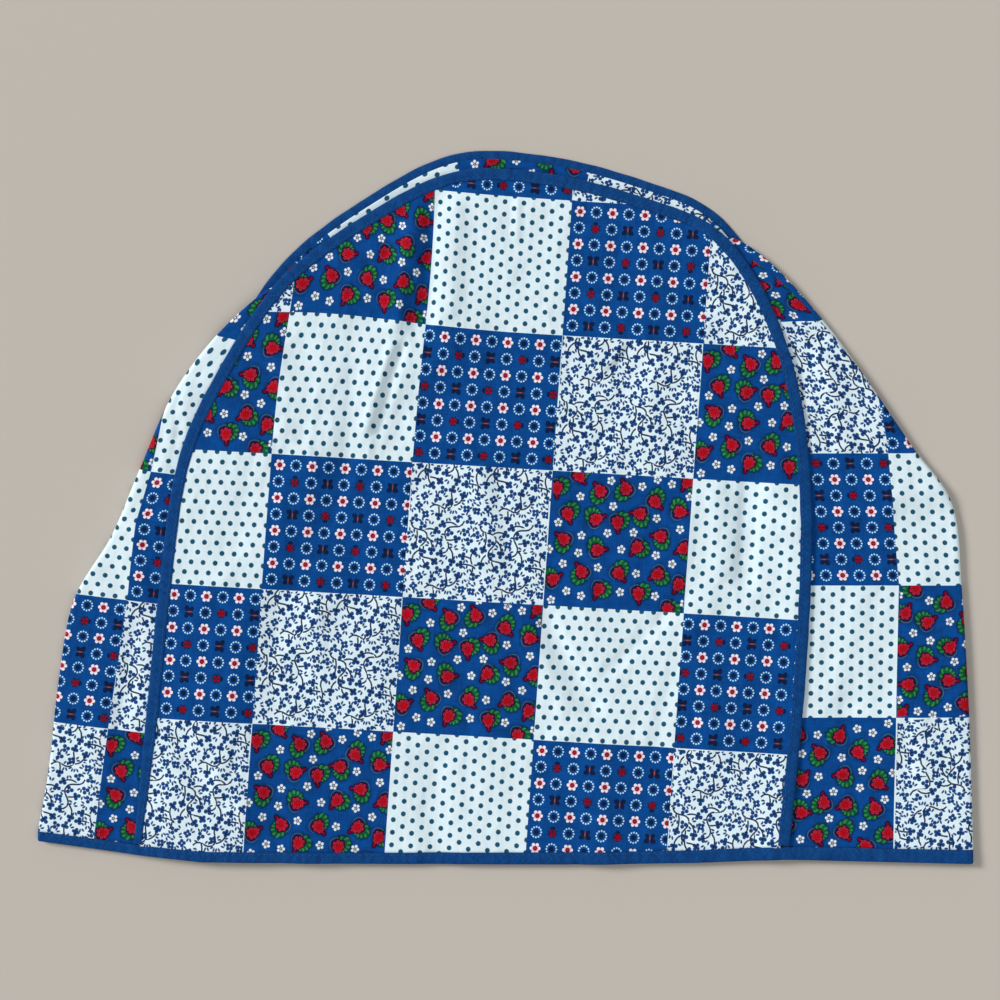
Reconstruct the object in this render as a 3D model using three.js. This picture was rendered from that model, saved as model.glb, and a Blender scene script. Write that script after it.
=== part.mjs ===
// A cover for a stand mixer, sewn from printed cotton and lying flat on its back panel.
// Two dome-shaped panels are joined by one long strip, the gusset. Bias tape is folded round
// the raw edges of both dome seams and round the opening along the bottom. Lying down, the
// gusset folds outwards at the left and right, and tucks in between the panels at the top.
// Millimetres, +X along the hem, +Y towards the top of the dome, +Z up from the surface.

import * as THREE from 'three';

const { clamp, lerp, smoothstep } = THREE.MathUtils;

// ---- Driving sizes ----
const CLOTH = 1.0;            // thickness of a cloth sheet
const TAPE = 1.6;             // thickness of the folded tape with the raw edges inside it
const TAPE_LIP = 0.6;         // rounding of the tape's two edges
const GAP = 0.3;              // clearance between neighbouring pieces
const EDGE_GAP = 0.54;        // the same between a cut edge and its tape, where both turn corners
const GUSSET_WIDTH = 152.4;   // the strip is cut 6 in wide
const SEAM_TAPE = { atLeftHem: 4.2, elsewhere: 6.2, widensOver: 0.08 };
const HEM_TAPE = { atLeft: 5.2, atRight: 7.4 };

// Centre line of the front dome seam, from the left end of the hem round to the right end.
const FRONT_SEAM = [
  { x: -194, y: -177.1 },
  { x: -187, y: -116 },
  { x: -180, y: -48 },
  { x: -169.5, y: 24 },
  { x: -147, y: 74 },
  { x: -116, y: 119 },
  { x: -74, y: 151 },
  { x: -27, y: 174 },
  { x: 22, y: 173 },
  { x: 72, y: 160.5 },
  { x: 109, y: 144 },
  { x: 135, y: 108 },
  { x: 151.6, y: 57 },
  { x: 157.4, y: -10 },
  { x: 154, y: -90 },
  { x: 145.5, y: -178 },
];

// Outer edge of the gusset's outward fold at each side, from the hem up to the dome seam.
const LEFT_FOLD = [
  { x: -247, y: -170 },
  { x: -241, y: -135 },
  { x: -236, y: -90 },
  { x: -228, y: -48 },
  { x: -208, y: -14 },
  { x: -193, y: 21.5 },
  { x: -176, y: 60 },
  { x: -153, y: 91 },
  { x: -128, y: 114 },
  { x: -113, y: 121.5 },
];
const RIGHT_FOLD = [
  { x: 246, y: -180 },
  { x: 245, y: -142 },
  { x: 243.5, y: -100 },
  { x: 240, y: -42 },
  { x: 235, y: 2 },
  { x: 213, y: 34 },
  { x: 190, y: 68 },
  { x: 168, y: 98 },
  { x: 144, y: 125 },
  { x: 124, y: 140.5 },
  { x: 107, y: 145.5 },
];

// Edge of the cloth along the hem, between the ends of each dome seam.
const FRONT_HEM = [
  { x: -160, y: -180.6 },
  { x: -100, y: -181.2 },
  { x: -35, y: -181.3 },
  { x: 40, y: -181.1 },
  { x: 100, y: -180 },
];
const BACK_HEM = [
  { x: -60, y: -178.6 },
  { x: 60, y: -178.8 },
];

// The back panel lies askew under the front one: further right at the hem, further up on top.
const BACK_SKEW = { hemShift: 50, hemLift: 1.5, topLift: 10 };

// Places along the front seam, as shares of its length.
const FOLD_ENDS = { left: 0.353, right: 0.623 };       // the outward folds run into the seam here
const TURN = 0.013;                                     // half the stretch where the strip turns under
const TAPE_ENDS = 0.0012;                               // a seam tape stops short of the hem's cloth edge

// Layers, each by the height of its middle.
const FLOOR_LAYER = CLOTH / 2;
const FLOOR_TAPE = TAPE / 2;
const LAYER = CLOTH + GAP + 0.05;                       // one layer above another
const TUCK_BOTTOM = TAPE + GAP + CLOTH / 2;             // the strip's back edge lies on the back tape
const TAPE_ON_CLOTH = CLOTH / 2 + GAP + 0.1 + TAPE / 2; // the front tape above the strip's front edge
const SAG = { usual: 3.3, lowest: 1.9 };                // the front panel away from the tuck
const OVER_TUCK = { slack: 0.9, creased: 0.3, from: 34, to: 9 }; // the same panel above the tuck
const BESIDE_SEAM = 26;                                 // over which it rises to its seam's tape
const HEM_MEETS = 14;                                   // half of where the hem passes over a seam's end

// Folds of the strip.
const TIGHT_FOLD = 0.66;                                // radius of a pressed fold
const TURNED_EDGE = 0.3;                                // straight cloth at a turned-under edge
const TUCK_OPENS = { from: 0.5, to: 8 };                // depth over which the tuck's fold forms
const RAMP = { top: 4.5, foot: 15, clear: 4 };          // where the strip steps down off the back tape
const LIFTS_OVER_TUCK = { from: -18, to: -6 };          // back seam's place where the upper layer rises
const NARROW = { from: 5, to: 20 };                     // reach over which sections turn to the fold
const TURNS_FIRST = 8;                                  // the fold's flat run shortens before it turns
const MITRE_LIMIT = 0.7;

// Creases of the cloth: a soft ridge, or a trough where height is below 0, along a line.
const FRONT_CREASES = [
  { x1: -36, y1: 166, x2: -42, y2: 98, height: 1.8, width: 8 },
  { x1: -47, y1: 158, x2: -54, y2: 104, height: -1.2, width: 9 },
  { x1: -51, y1: 90, x2: -76, y2: 16, height: 1.6, width: 6 },
  { x1: -40, y1: 84, x2: -62, y2: 18, height: -1.4, width: 9 },
  { x1: 5, y1: 168, x2: 6, y2: 144, height: -1.0, width: 6 },
  { x1: 128, y1: 16, x2: 126, y2: -34, height: -1.4, width: 10 },
  { x1: -138, y1: 6, x2: -142, y2: -20, height: -1.0, width: 12 },
  { x1: 22, y1: -62, x2: 46, y2: -102, height: -1.1, width: 9 },
  { x1: -172, y1: -122, x2: -154, y2: -156, height: -1.2, width: 9 },
  { x1: -38, y1: -134, x2: -36, y2: -182, height: -1.0, width: 12 },
  { x1: 48, y1: -130, x2: 52, y2: -182, height: 1.0, width: 14 },
  { x1: -112, y1: -120, x2: -104, y2: -182, height: 0.9, width: 16 },
  { x1: -12, y1: 20, x2: -8, y2: -48, height: 0.9, width: 16 },
];
const GUSSET_CREASES = [
  { x1: 168, y1: 78, x2: 176, y2: 30, height: 0.9, width: 9 },
  { x1: 186, y1: -40, x2: 172, y2: -96, height: 0.7, width: 10 },
  { x1: 214, y1: 20, x2: 196, y2: -8, height: 0.8, width: 9 },
  { x1: 222, y1: -110, x2: 226, y2: -160, height: 0.8, width: 12 },
  { x1: -200, y1: -20, x2: -192, y2: -46, height: 0.8, width: 9 },
  { x1: -214, y1: -84, x2: -218, y2: -150, height: 0.7, width: 11 },
];

// How finely each piece is divided.
const ROWS = { upper: 4, outerFold: 4, ramp: 2, inner: 3, innerFold: 3, lower: 1 };
const SEAM_STOPS = [
  { to: 0.06, steps: 5 },
  { to: FOLD_ENDS.left - TURN, steps: 14 },
  { to: FOLD_ENDS.left + TURN, steps: 5 },
  { to: FOLD_ENDS.right - TURN, steps: 16 },
  { to: FOLD_ENDS.right + TURN, steps: 5 },
  { to: 0.785, steps: 7 },
  { to: 0.85, steps: 6 },
  { to: 1, steps: 6 },
];
const PANEL_GRID = { across: 26, up: 19 };              // together the stations along the seam
const HEM_STEPS = { upper: 40, lower: 16, turn: 6 };
const SEAM_SAMPLES = 180;

// ---- Seams and folds in plan ----
function planCurve(rows) {
  const curve = new THREE.SplineCurve(rows.map(({ x, y }) => new THREE.Vector2(x, y)));
  curve.arcLengthDivisions = 800;
  return curve;
}

function skewed({ x, y }) {
  const top = Math.max(...FRONT_SEAM.map((row) => row.y));
  const down = (top - y) / (top - FRONT_SEAM[0].y);
  return {
    x: x + BACK_SKEW.hemShift * down ** 3,
    y: y + lerp(BACK_SKEW.topLift, BACK_SKEW.hemLift, down),
  };
}

const frontSeam = planCurve(FRONT_SEAM);
const backSeam = planCurve(FRONT_SEAM.map(skewed));
const leftFold = planCurve(LEFT_FOLD);
const rightFold = planCurve(RIGHT_FOLD);

// The direction square to a seam and out of the dome, averaged over a short stretch.
function outwardOf(seam, u, stretch = 0.01) {
  const before = seam.getPointAt(clamp(u - stretch, 0, 1));
  const along = seam.getPointAt(clamp(u + stretch, 0, 1)).sub(before).normalize();
  return new THREE.Vector2(-along.y, along.x);
}

function seamTapeWidth(u) {
  return lerp(SEAM_TAPE.atLeftHem, SEAM_TAPE.elsewhere, smoothstep(u, 0, SEAM_TAPE.widensOver));
}

function hemTapeWidth(x) {
  const share = (x - LEFT_FOLD[0].x) / (RIGHT_FOLD[0].x - LEFT_FOLD[0].x);
  return lerp(HEM_TAPE.atLeft, HEM_TAPE.atRight, clamp(share, 0, 1));
}

// The edge of a panel's cloth beside the tape of its seam.
function clothEdge(seam, u) {
  return seam.getPointAt(u).addScaledVector(outwardOf(seam, u), -seamTapeWidth(u) / 2 - EDGE_GAP);
}

function foldPoint(u) {
  if (u < FOLD_ENDS.left) return leftFold.getPointAt(u / FOLD_ENDS.left);
  if (u > FOLD_ENDS.right) return rightFold.getPointAt((1 - u) / (1 - FOLD_ENDS.right));
  return frontSeam.getPointAt(u);
}

// How the gusset lies at one place along the front seam. q is the distance outwards from the
// seam: the strip runs out to the fold at `reach`, in as far as its width allows, and out again
// to the back seam at `back`, which leaves a tuck of depth `tuck` inside the back seam.
const lies = new Map();
function lieAt(u) {
  if (lies.has(u)) return lies.get(u);
  const seam = frontSeam.getPointAt(u);
  const toFold = foldPoint(u).sub(seam);
  const reach = Math.max(toFold.length() - CLOTH / 2, 0);
  const square = outwardOf(frontSeam, u, 0.03);
  const out = square.lerp(toFold.normalize(), smoothstep(reach, NARROW.from, NARROW.to)).normalize();
  const along = new THREE.Vector2(out.y, -out.x);
  const toBack = backSeam.getPointAt(u).sub(seam);
  const back = toBack.dot(out);
  const slide = toBack.dot(along);
  const tuck = Math.max((GUSSET_WIDTH + back) / 2 - reach, 0);
  const turned = smoothstep(u, FOLD_ENDS.left - TURN, FOLD_ENDS.left + TURN)
    * (1 - smoothstep(u, FOLD_ENDS.right - TURN, FOLD_ENDS.right + TURN));
  const lie = { seam, out, along, slide, reach, back, tuck, turned };
  lies.set(u, lie);
  return lie;
}

// ---- Heights ----
function creaseHeight(creases, x, y) {
  let height = 0;
  for (const crease of creases) {
    const run = new THREE.Vector2(crease.x2 - crease.x1, crease.y2 - crease.y1);
    const from = new THREE.Vector2(x - crease.x1, y - crease.y1);
    const share = from.dot(run) / run.lengthSq();
    const aside = from.cross(run) / run.length() / crease.width;
    const past = Math.max(-share, share - 1, 0) * run.length() / crease.width;
    height += crease.height * Math.exp(-2 * (aside ** 2 + past ** 2));
  }
  return height;
}

// A run of cloth in section: straight, then curving evenly through an angle in a few steps.
function curl(start, heading, straight, angle, length, steps) {
  const points = [start];
  const go = (distance, direction) => {
    const { q, z } = points.at(-1);
    points.push({ q: q + distance * Math.cos(direction), z: z + distance * Math.sin(direction) });
  };
  go(straight, heading);
  for (let i = 0; i < steps; i++) go(length / steps, heading + angle * (i + 0.5) / steps);
  return points;
}

// The tuck's lower layer and inner fold, from the edge on the back tape. Where the tuck starts,
// near the hem, the fold opens out until the strip simply ends on the tape.
function tuckRun({ back, tuck }) {
  const { from, to } = TUCK_OPENS;
  const angle = Math.PI * clamp((tuck - from) / (to - from), 0, 1);
  const straight = Math.max(TURNED_EDGE, tuck - to);
  const edge = { q: back - TAPE, z: TUCK_BOTTOM };
  return curl(edge, angle, straight, -angle, Math.PI * TIGHT_FOLD, ROWS.innerFold);
}

// The layer that comes back from the outward fold: flat on the surface, then up on the back tape.
function returnHeight(lie, q) {
  const raised = tuckRun(lie).at(-1).z;
  return lerp(raised, FLOOR_LAYER, smoothstep(q - lie.back, RAMP.top, RAMP.foot));
}

// The upper layer outside the front seam, clear of what lies under it.
function upperHeight(lie) {
  const overTuck = smoothstep(lie.back, LIFTS_OVER_TUCK.from, LIFTS_OVER_TUCK.to);
  return LAYER + lerp(TUCK_BOTTOM, tuckRun(lie).at(-1).z, overTuck);
}

// The outward fold, from the front seam to where the strip has turned back. Past the fold's ends
// the strip turns down and in under its tape instead.
function foldRun(lie) {
  const { reach, turned } = lie;
  const open = (upperHeight(lie) - returnHeight(lie, reach - TIGHT_FOLD)) / 2;
  const radius = lerp(clamp(open, TIGHT_FOLD, Math.max(reach / 4, TIGHT_FOLD)), TIGHT_FOLD, turned);
  const flat = Math.max(reach - radius, TURNED_EDGE);
  const straight = lerp(flat, TURNED_EDGE, Math.min(TURNS_FIRST * turned, 1));
  const run = curl({ q: 0, z: 0 }, -Math.PI * turned, straight, -Math.PI * (1 - turned),
    Math.PI * radius, ROWS.outerFold);
  const drop = returnHeight(lie, run.at(-1).q) - run.at(-1).z;
  return run.map(({ q, z }) => ({ q, z: z + drop }));
}

// Splits the straight start of a run into equal rows.
function withRows([from, to, ...rest], rows) {
  const split = [];
  for (let i = 0; i < rows; i++) {
    split.push({ q: lerp(from.q, to.q, i / rows), z: lerp(from.z, to.z, i / rows) });
  }
  return [...split, to, ...rest];
}

// The strip's middle line in section, from the front seam to the back seam.
function gussetRows(lie) {
  const upper = withRows(foldRun(lie), ROWS.upper);
  const lower = withRows(tuckRun(lie), ROWS.lower).reverse();
  const from = upper.at(-1).q;
  const to = lower[0].q;
  const foot = Math.min(lie.back + RAMP.foot, from - RAMP.clear);
  const top = Math.min(lie.back + RAMP.top, foot - RAMP.clear);
  const middle = [];
  for (let i = 1; i <= ROWS.ramp; i++) middle.push(lerp(from, foot, i / ROWS.ramp));
  for (let i = 1; i <= ROWS.ramp; i++) middle.push(lerp(foot, top, i / ROWS.ramp));
  for (let i = 1; i < ROWS.inner; i++) middle.push(lerp(top, to, i / ROWS.inner));
  const rows = [
    ...upper.map((row) => ({ ...row, slid: 0 })),
    ...middle.map((q) => ({ q, z: returnHeight(lie, q), slid: (from - q) / (from - to) })),
    ...lower.map((row) => ({ ...row, slid: 1 })),
  ];
  return rows;
}

// A place across the strip in space.
function gussetPoint(lie, { q, z, slid }) {
  const at = lie.seam.clone().addScaledVector(lie.out, q);
  at.addScaledVector(lie.along, lie.slide * slid);
  return new THREE.Vector3(at.x, at.y, z);
}

// The front tape lies on the strip's front edge, and the front panel meets the tape's side.
function seamLevel(u) {
  return foldRun(lieAt(u))[0].z + TAPE_ON_CLOTH;
}

function nearestOnSeam(x, y) {
  let best = { distance: Infinity, u: 0 };
  for (let i = 0; i <= SEAM_SAMPLES; i++) {
    const u = i / SEAM_SAMPLES;
    const { seam } = lieAt(u);
    const distance = Math.hypot(x - seam.x, y - seam.y);
    if (distance < best.distance) best = { distance, u };
  }
  return best;
}

// The front panel: at the tape's level along its seam, over the tuck next to that, and lower in
// the middle, with its creases.
function frontHeight(x, y) {
  const { distance, u } = nearestOnSeam(x, y);
  const lie = lieAt(u);
  const folded = tuckRun(lie).at(-1);
  const crease = creaseHeight(FRONT_CREASES, x, y);
  const onTuck = folded.z + LAYER + OVER_TUCK.slack + OVER_TUCK.creased * crease;
  const overTuck = smoothstep(-distance, folded.q - OVER_TUCK.from, folded.q - OVER_TUCK.to);
  const inside = lerp(Math.max(SAG.usual + crease, SAG.lowest), onTuck, overTuck);
  const beside = smoothstep(-distance, -BESIDE_SEAM, -seamTapeWidth(u) / 2);
  return lerp(inside, seamLevel(u), beside);
}

// The shares of the seam's length at which every piece along it is set out.
function seamStations() {
  const stations = [0];
  for (const { to, steps } of SEAM_STOPS) {
    const from = stations.at(-1);
    for (let i = 1; i <= steps; i++) stations.push(lerp(from, to, i / steps));
  }
  return stations;
}
const SEAM_STATIONS = seamStations();

// ---- Solids ----
// A closed shell between two grids of points that match row by row.
function shellGeometry(front, rear) {
  const rows = front.length;
  const columns = front[0].length;
  const positions = [...front.flat(), ...rear.flat()].flatMap(({ x, y, z }) => [x, y, z]);
  const at = (side, i, j) => (side * rows + i) * columns + j;
  const index = [];
  const quad = (a, b, c, d) => index.push(a, b, c, a, c, d);
  for (let i = 0; i + 1 < rows; i++) {
    for (let j = 0; j + 1 < columns; j++) {
      quad(at(0, i, j), at(0, i, j + 1), at(0, i + 1, j + 1), at(0, i + 1, j));
      quad(at(1, i, j), at(1, i + 1, j), at(1, i + 1, j + 1), at(1, i, j + 1));
    }
    quad(at(0, i, 0), at(0, i + 1, 0), at(1, i + 1, 0), at(1, i, 0));
    const last = columns - 1;
    quad(at(0, i, last), at(1, i, last), at(1, i + 1, last), at(0, i + 1, last));
  }
  for (let j = 0; j + 1 < columns; j++) {
    const last = rows - 1;
    quad(at(0, 0, j), at(1, 0, j), at(1, 0, j + 1), at(0, 0, j + 1));
    quad(at(0, last, j), at(0, last, j + 1), at(1, last, j + 1), at(1, last, j));
  }
  const geometry = new THREE.BufferGeometry();
  geometry.setAttribute('position', new THREE.Float32BufferAttribute(positions, 3));
  geometry.setIndex(index);
  geometry.computeVertexNormals();
  return geometry;
}

// The strip: its middle line thickened in section at each station along the front seam.
function gussetGeometry() {
  const face = [];
  const lining = [];
  for (const u of SEAM_STATIONS) {
    const lie = lieAt(u);
    const rows = gussetRows(lie);
    rows.slice(1, ROWS.upper).forEach((row, i) => {
      const at = gussetPoint(lie, row);
      row.z += creaseHeight(GUSSET_CREASES, at.x, at.y) * Math.sin(Math.PI * (i + 1) / ROWS.upper);
    });
    const normals = rows.map((row, i) => {
      const before = rows[Math.max(i - 1, 0)];
      const after = rows[Math.min(i + 1, rows.length - 1)];
      const here = rows[i];
      const leg1 = new THREE.Vector2(here.q - before.q, here.z - before.z).normalize();
      const leg2 = new THREE.Vector2(after.q - here.q, after.z - here.z).normalize();
      const sum = leg1.clone().add(leg2).normalize();
      const mitre = Math.max(sum.dot(leg1.lengthSq() > 0 ? leg1 : leg2), MITRE_LIMIT);
      return { q: -sum.y / mitre, z: sum.x / mitre };
    });
    const offset = (side) => rows.map((row, i) => gussetPoint(lie, {
      q: row.q + side * normals[i].q * CLOTH / 2,
      z: Math.max(row.z + side * normals[i].z * CLOTH / 2, 0),
      slid: row.slid,
    }));
    face.push(offset(1));
    lining.push(offset(-1));
  }
  return shellGeometry(lining, face);
}

// The cut edge of a panel beside its seam's tape, at every station from hem to hem.
function cutEdge(seam, hemEdge) {
  const edge = SEAM_STATIONS.map((u) => clothEdge(seam, u));
  for (const corner of [edge[0], edge.at(-1)]) corner.y = hemEdge(corner.x);
  return edge;
}

// The panel is a four-sided grid: the hem below, and the seam's stations up one side, across the
// top and down the other side.
function panelRows(hemEdge) {
  const { across, up } = PANEL_GRID;
  const edge = cutEdge(frontSeam, hemEdge);
  const leftSide = edge.slice(0, up + 1);
  const topSide = edge.slice(up, up + across + 1);
  const rightSide = edge.slice(up + across).reverse();
  const hemSide = topSide.map((_, j) => {
    const x = lerp(leftSide[0].x, rightSide[0].x, j / across);
    return new THREE.Vector2(x, hemEdge(x));
  });
  return leftSide.map((left, i) => topSide.map((top, j) => {
    const s = j / across;
    const t = i / up;
    const at = hemSide[j].clone().multiplyScalar(1 - t).addScaledVector(top, t);
    at.addScaledVector(left, 1 - s).addScaledVector(rightSide[i], s);
    at.addScaledVector(hemSide[0], -(1 - s) * (1 - t)).addScaledVector(hemSide[across], -s * (1 - t));
    return at.addScaledVector(topSide[0], -(1 - s) * t).addScaledVector(topSide[across], -s * t);
  }));
}

function frontPanelGeometry(hemEdge) {
  const layer = (side) => panelRows(hemEdge).map((row) => row.map(({ x, y }) => (
    new THREE.Vector3(x, y, frontHeight(x, y) + side * CLOTH / 2))));
  return shellGeometry(layer(1), layer(-1));
}

function backPanelGeometry(hemEdge) {
  const outline = cutEdge(backSeam, hemEdge);
  for (const { x, y } of [...BACK_HEM].reverse()) outline.push(new THREE.Vector2(x, y));
  return new THREE.ExtrudeGeometry(new THREE.Shape(outline), { depth: CLOTH, bevelEnabled: false });
}

// Folded tape along a path: each station has its middle, the direction across it and its width.
function tapeGeometry(stations, closed) {
  const ring = ({ at, across, width }, i) => {
    const wrap = (k) => (closed ? (k + stations.length) % stations.length
      : clamp(k, 0, stations.length - 1));
    const along = stations[wrap(i + 1)].at.clone().sub(stations[wrap(i - 1)].at).normalize();
    const up = along.clone().cross(across).normalize();
    const half = width / 2;
    const section = [[-half, 0], [TAPE_LIP - half, 1], [half - TAPE_LIP, 1],
      [half, 0], [half - TAPE_LIP, -1], [TAPE_LIP - half, -1]];
    return section.map(([aside, side]) => at.clone().addScaledVector(across, aside)
      .addScaledVector(up, side * TAPE / 2));
  };
  const rings = stations.map(ring);
  const sides = rings[0].length;
  const positions = rings.flat().flatMap(({ x, y, z }) => [x, y, z]);
  const index = [];
  const runs = closed ? rings.length : rings.length - 1;
  for (let i = 0; i < runs; i++) {
    const here = i * sides;
    const next = ((i + 1) % rings.length) * sides;
    for (let k = 0; k < sides; k++) {
      const k2 = (k + 1) % sides;
      index.push(here + k, next + k2, here + k2, here + k, next + k, next + k2);
    }
  }
  if (!closed) {
    const last = (rings.length - 1) * sides;
    for (let k = 1; k + 1 < sides; k++) {
      index.push(0, k, k + 1, last, last + k + 1, last + k);
    }
  }
  const geometry = new THREE.BufferGeometry();
  geometry.setAttribute('position', new THREE.Float32BufferAttribute(positions, 3));
  geometry.setIndex(index);
  geometry.computeVertexNormals();
  return geometry;
}

function seamTapeGeometry(seam, levelAt) {
  const stations = SEAM_STATIONS.map((station) => {
    const u = clamp(station, TAPE_ENDS, 1 - TAPE_ENDS);
    const { x, y } = seam.getPointAt(u);
    const out = outwardOf(seam, u);
    return {
      at: new THREE.Vector3(x, y, levelAt(u)),
      across: new THREE.Vector3(out.x, out.y, 0),
      width: seamTapeWidth(u),
    };
  });
  return tapeGeometry(stations, false);
}

// The edge of the cloth along the hem as a height y for each x, by straight stretches.
function edgeLine(rows) {
  return (x) => {
    let k = 1;
    while (k < rows.length - 1 && rows[k].x < x) k += 1;
    const share = (x - rows[k - 1].x) / (rows[k].x - rows[k - 1].x);
    return lerp(rows[k - 1].y, rows[k].y, share);
  };
}

// The tape round the opening: along the upper cloth edges, round the right fold, back along
// the surface and round the left fold.
function hemTapeGeometry(upperEdge, lowerEdge) {
  const [first, last] = [lieAt(0), lieAt(1)];
  const levels = { left: upperHeight(first), right: upperHeight(last) };
  const upperLevel = (x) => {
    const onPanel = clamp(x, clothEdge(frontSeam, 0).x, clothEdge(frontSeam, 1).x);
    const panel = Math.max(frontHeight(onPanel, upperEdge(onPanel)), FLOOR_TAPE + TAPE + GAP);
    const fromLeft = smoothstep(x, first.seam.x - HEM_MEETS, first.seam.x + HEM_MEETS);
    const toRight = smoothstep(x, last.seam.x - HEM_MEETS, last.seam.x + HEM_MEETS);
    return lerp(lerp(levels.left, panel, fromLeft), levels.right, toRight);
  };
  const turnRadius = (level) => (level - FLOOR_TAPE) / 2;
  const leftEnd = LEFT_FOLD[0].x + TAPE / 2 + turnRadius(levels.left);
  const rightEnd = RIGHT_FOLD[0].x - TAPE / 2 - turnRadius(levels.right);
  const stations = [];
  const station = (x, edge, z) => {
    const width = hemTapeWidth(x);
    const at = new THREE.Vector3(x, edge(clamp(x, leftEnd, rightEnd)) - EDGE_GAP - width / 2, z);
    stations.push({ at, across: new THREE.Vector3(0, 1, 0), width });
  };
  const turn = (x, level, side) => {
    const radius = turnRadius(level);
    for (let i = 1; i < HEM_STEPS.turn; i++) {
      const angle = Math.PI * i / HEM_STEPS.turn;
      station(x + side * radius * Math.sin(angle), upperEdge,
        FLOOR_TAPE + radius * (1 + side * Math.cos(angle)));
    }
  };
  for (let i = 0; i <= HEM_STEPS.upper; i++) {
    const x = lerp(leftEnd, rightEnd, i / HEM_STEPS.upper);
    station(x, upperEdge, upperLevel(x));
  }
  turn(rightEnd, levels.right, 1);
  for (let i = 0; i <= HEM_STEPS.lower; i++) {
    station(lerp(rightEnd, leftEnd, i / HEM_STEPS.lower), lowerEdge, FLOOR_TAPE);
  }
  turn(leftEnd, levels.left, -1);
  return tapeGeometry(stations, true);
}

// ---- The cover ----
const frontEnds = [lieAt(0).seam, lieAt(1).seam];
const backEnds = [backSeam.getPointAt(0), backSeam.getPointAt(1)];
const upperEdge = edgeLine([LEFT_FOLD[0], frontEnds[0], ...FRONT_HEM, frontEnds[1], RIGHT_FOLD[0]]);
const lowerEdge = edgeLine([LEFT_FOLD[0], backEnds[0], ...BACK_HEM, backEnds[1], RIGHT_FOLD[0]]);

const PRINTED_COTTON = { color: 0x5f86b4, roughness: 0.9, metalness: 0 };
const BLUE_TAPE = { color: 0x0a4a94, roughness: 0.85, metalness: 0 };

const cover = new THREE.Group();
function addPiece(name, geometry, finish) {
  const piece = new THREE.Mesh(geometry, new THREE.MeshStandardMaterial(finish));
  piece.name = name;
  cover.add(piece);
}
addPiece('back_panel', backPanelGeometry(lowerEdge), PRINTED_COTTON);
addPiece('back_binding', seamTapeGeometry(backSeam, () => FLOOR_TAPE), BLUE_TAPE);
addPiece('gusset', gussetGeometry(), PRINTED_COTTON);
addPiece('front_panel', frontPanelGeometry(upperEdge), PRINTED_COTTON);
addPiece('front_binding', seamTapeGeometry(frontSeam, seamLevel), BLUE_TAPE);
addPiece('hem_binding', hemTapeGeometry(upperEdge, lowerEdge), BLUE_TAPE);

// The origin is on the surface, under the middle of the cover's box.
const middle = new THREE.Box3().setFromObject(cover).getCenter(new THREE.Vector3());
cover.position.set(-middle.x, -middle.y, 0);

export default cover;
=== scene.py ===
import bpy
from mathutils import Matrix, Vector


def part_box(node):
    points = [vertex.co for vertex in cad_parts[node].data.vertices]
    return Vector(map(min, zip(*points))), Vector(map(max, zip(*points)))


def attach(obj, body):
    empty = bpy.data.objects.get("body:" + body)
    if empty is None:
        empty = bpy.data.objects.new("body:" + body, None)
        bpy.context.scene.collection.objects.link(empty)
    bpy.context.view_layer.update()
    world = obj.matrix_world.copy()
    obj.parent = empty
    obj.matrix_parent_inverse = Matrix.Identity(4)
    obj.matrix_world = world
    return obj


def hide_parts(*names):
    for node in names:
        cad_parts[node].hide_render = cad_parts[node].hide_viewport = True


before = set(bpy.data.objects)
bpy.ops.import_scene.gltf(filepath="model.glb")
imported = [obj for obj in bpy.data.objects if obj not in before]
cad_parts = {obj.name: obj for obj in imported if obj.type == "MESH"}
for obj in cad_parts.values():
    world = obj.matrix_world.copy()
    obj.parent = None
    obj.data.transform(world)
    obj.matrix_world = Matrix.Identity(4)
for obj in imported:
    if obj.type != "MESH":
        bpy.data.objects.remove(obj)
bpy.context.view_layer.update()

import math
import random
import bpy
import numpy as np

scene = bpy.context.scene
scene.view_settings.view_transform = "Standard"

# ---------------------------------------------------------------------------------------------
# The gusset: one strip of the printed cotton, cut 6 in wide and sewn between the edges of the two
# dome panels. As the cover lies flat it folds outwards at the left and right, and at the top its
# back edge tucks in between the panels, so that a crescent of it shows beside the back tape.
# ---------------------------------------------------------------------------------------------
MM = 0.001
CLOTH = 0.8                     # mm, as all sizes in these sections
TAPE = 1.6
GAP = 0.3
GUSSET_WIDTH = 152.4
FRONT_SEAM = [                  # (x, y): middle of the front tape, from the left end of the hem round
    (-194, -177.1), (-187, -116), (-180, -48), (-169.5, 24), (-147, 74), (-116, 119),
    (-74, 151), (-27, 174), (22, 173), (72, 160.5), (109, 144), (135, 108),
    (151.6, 57), (157.4, -10), (154, -90), (145.5, -178)]
LEFT_FOLD = [                   # (x, y): outer edge of the outward fold, from the hem up
    (-247, -170), (-241, -135), (-236, -90), (-228, -48), (-208, -14), (-193, 21.5),
    (-176, 60), (-153, 91), (-128, 114), (-113, 121.5)]
RIGHT_FOLD = [
    (246, -180), (245, -142), (243.5, -100), (240, -42), (235, 2), (213, 34),
    (190, 68), (168, 98), (144, 125), (124, 140.5), (107, 145.5)]
FOLD_ENDS = (0.353, 0.623)      # shares of the seam where the outward folds run into it
TURN = 0.013                    # share to either side of those over which a fold turns over
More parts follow.
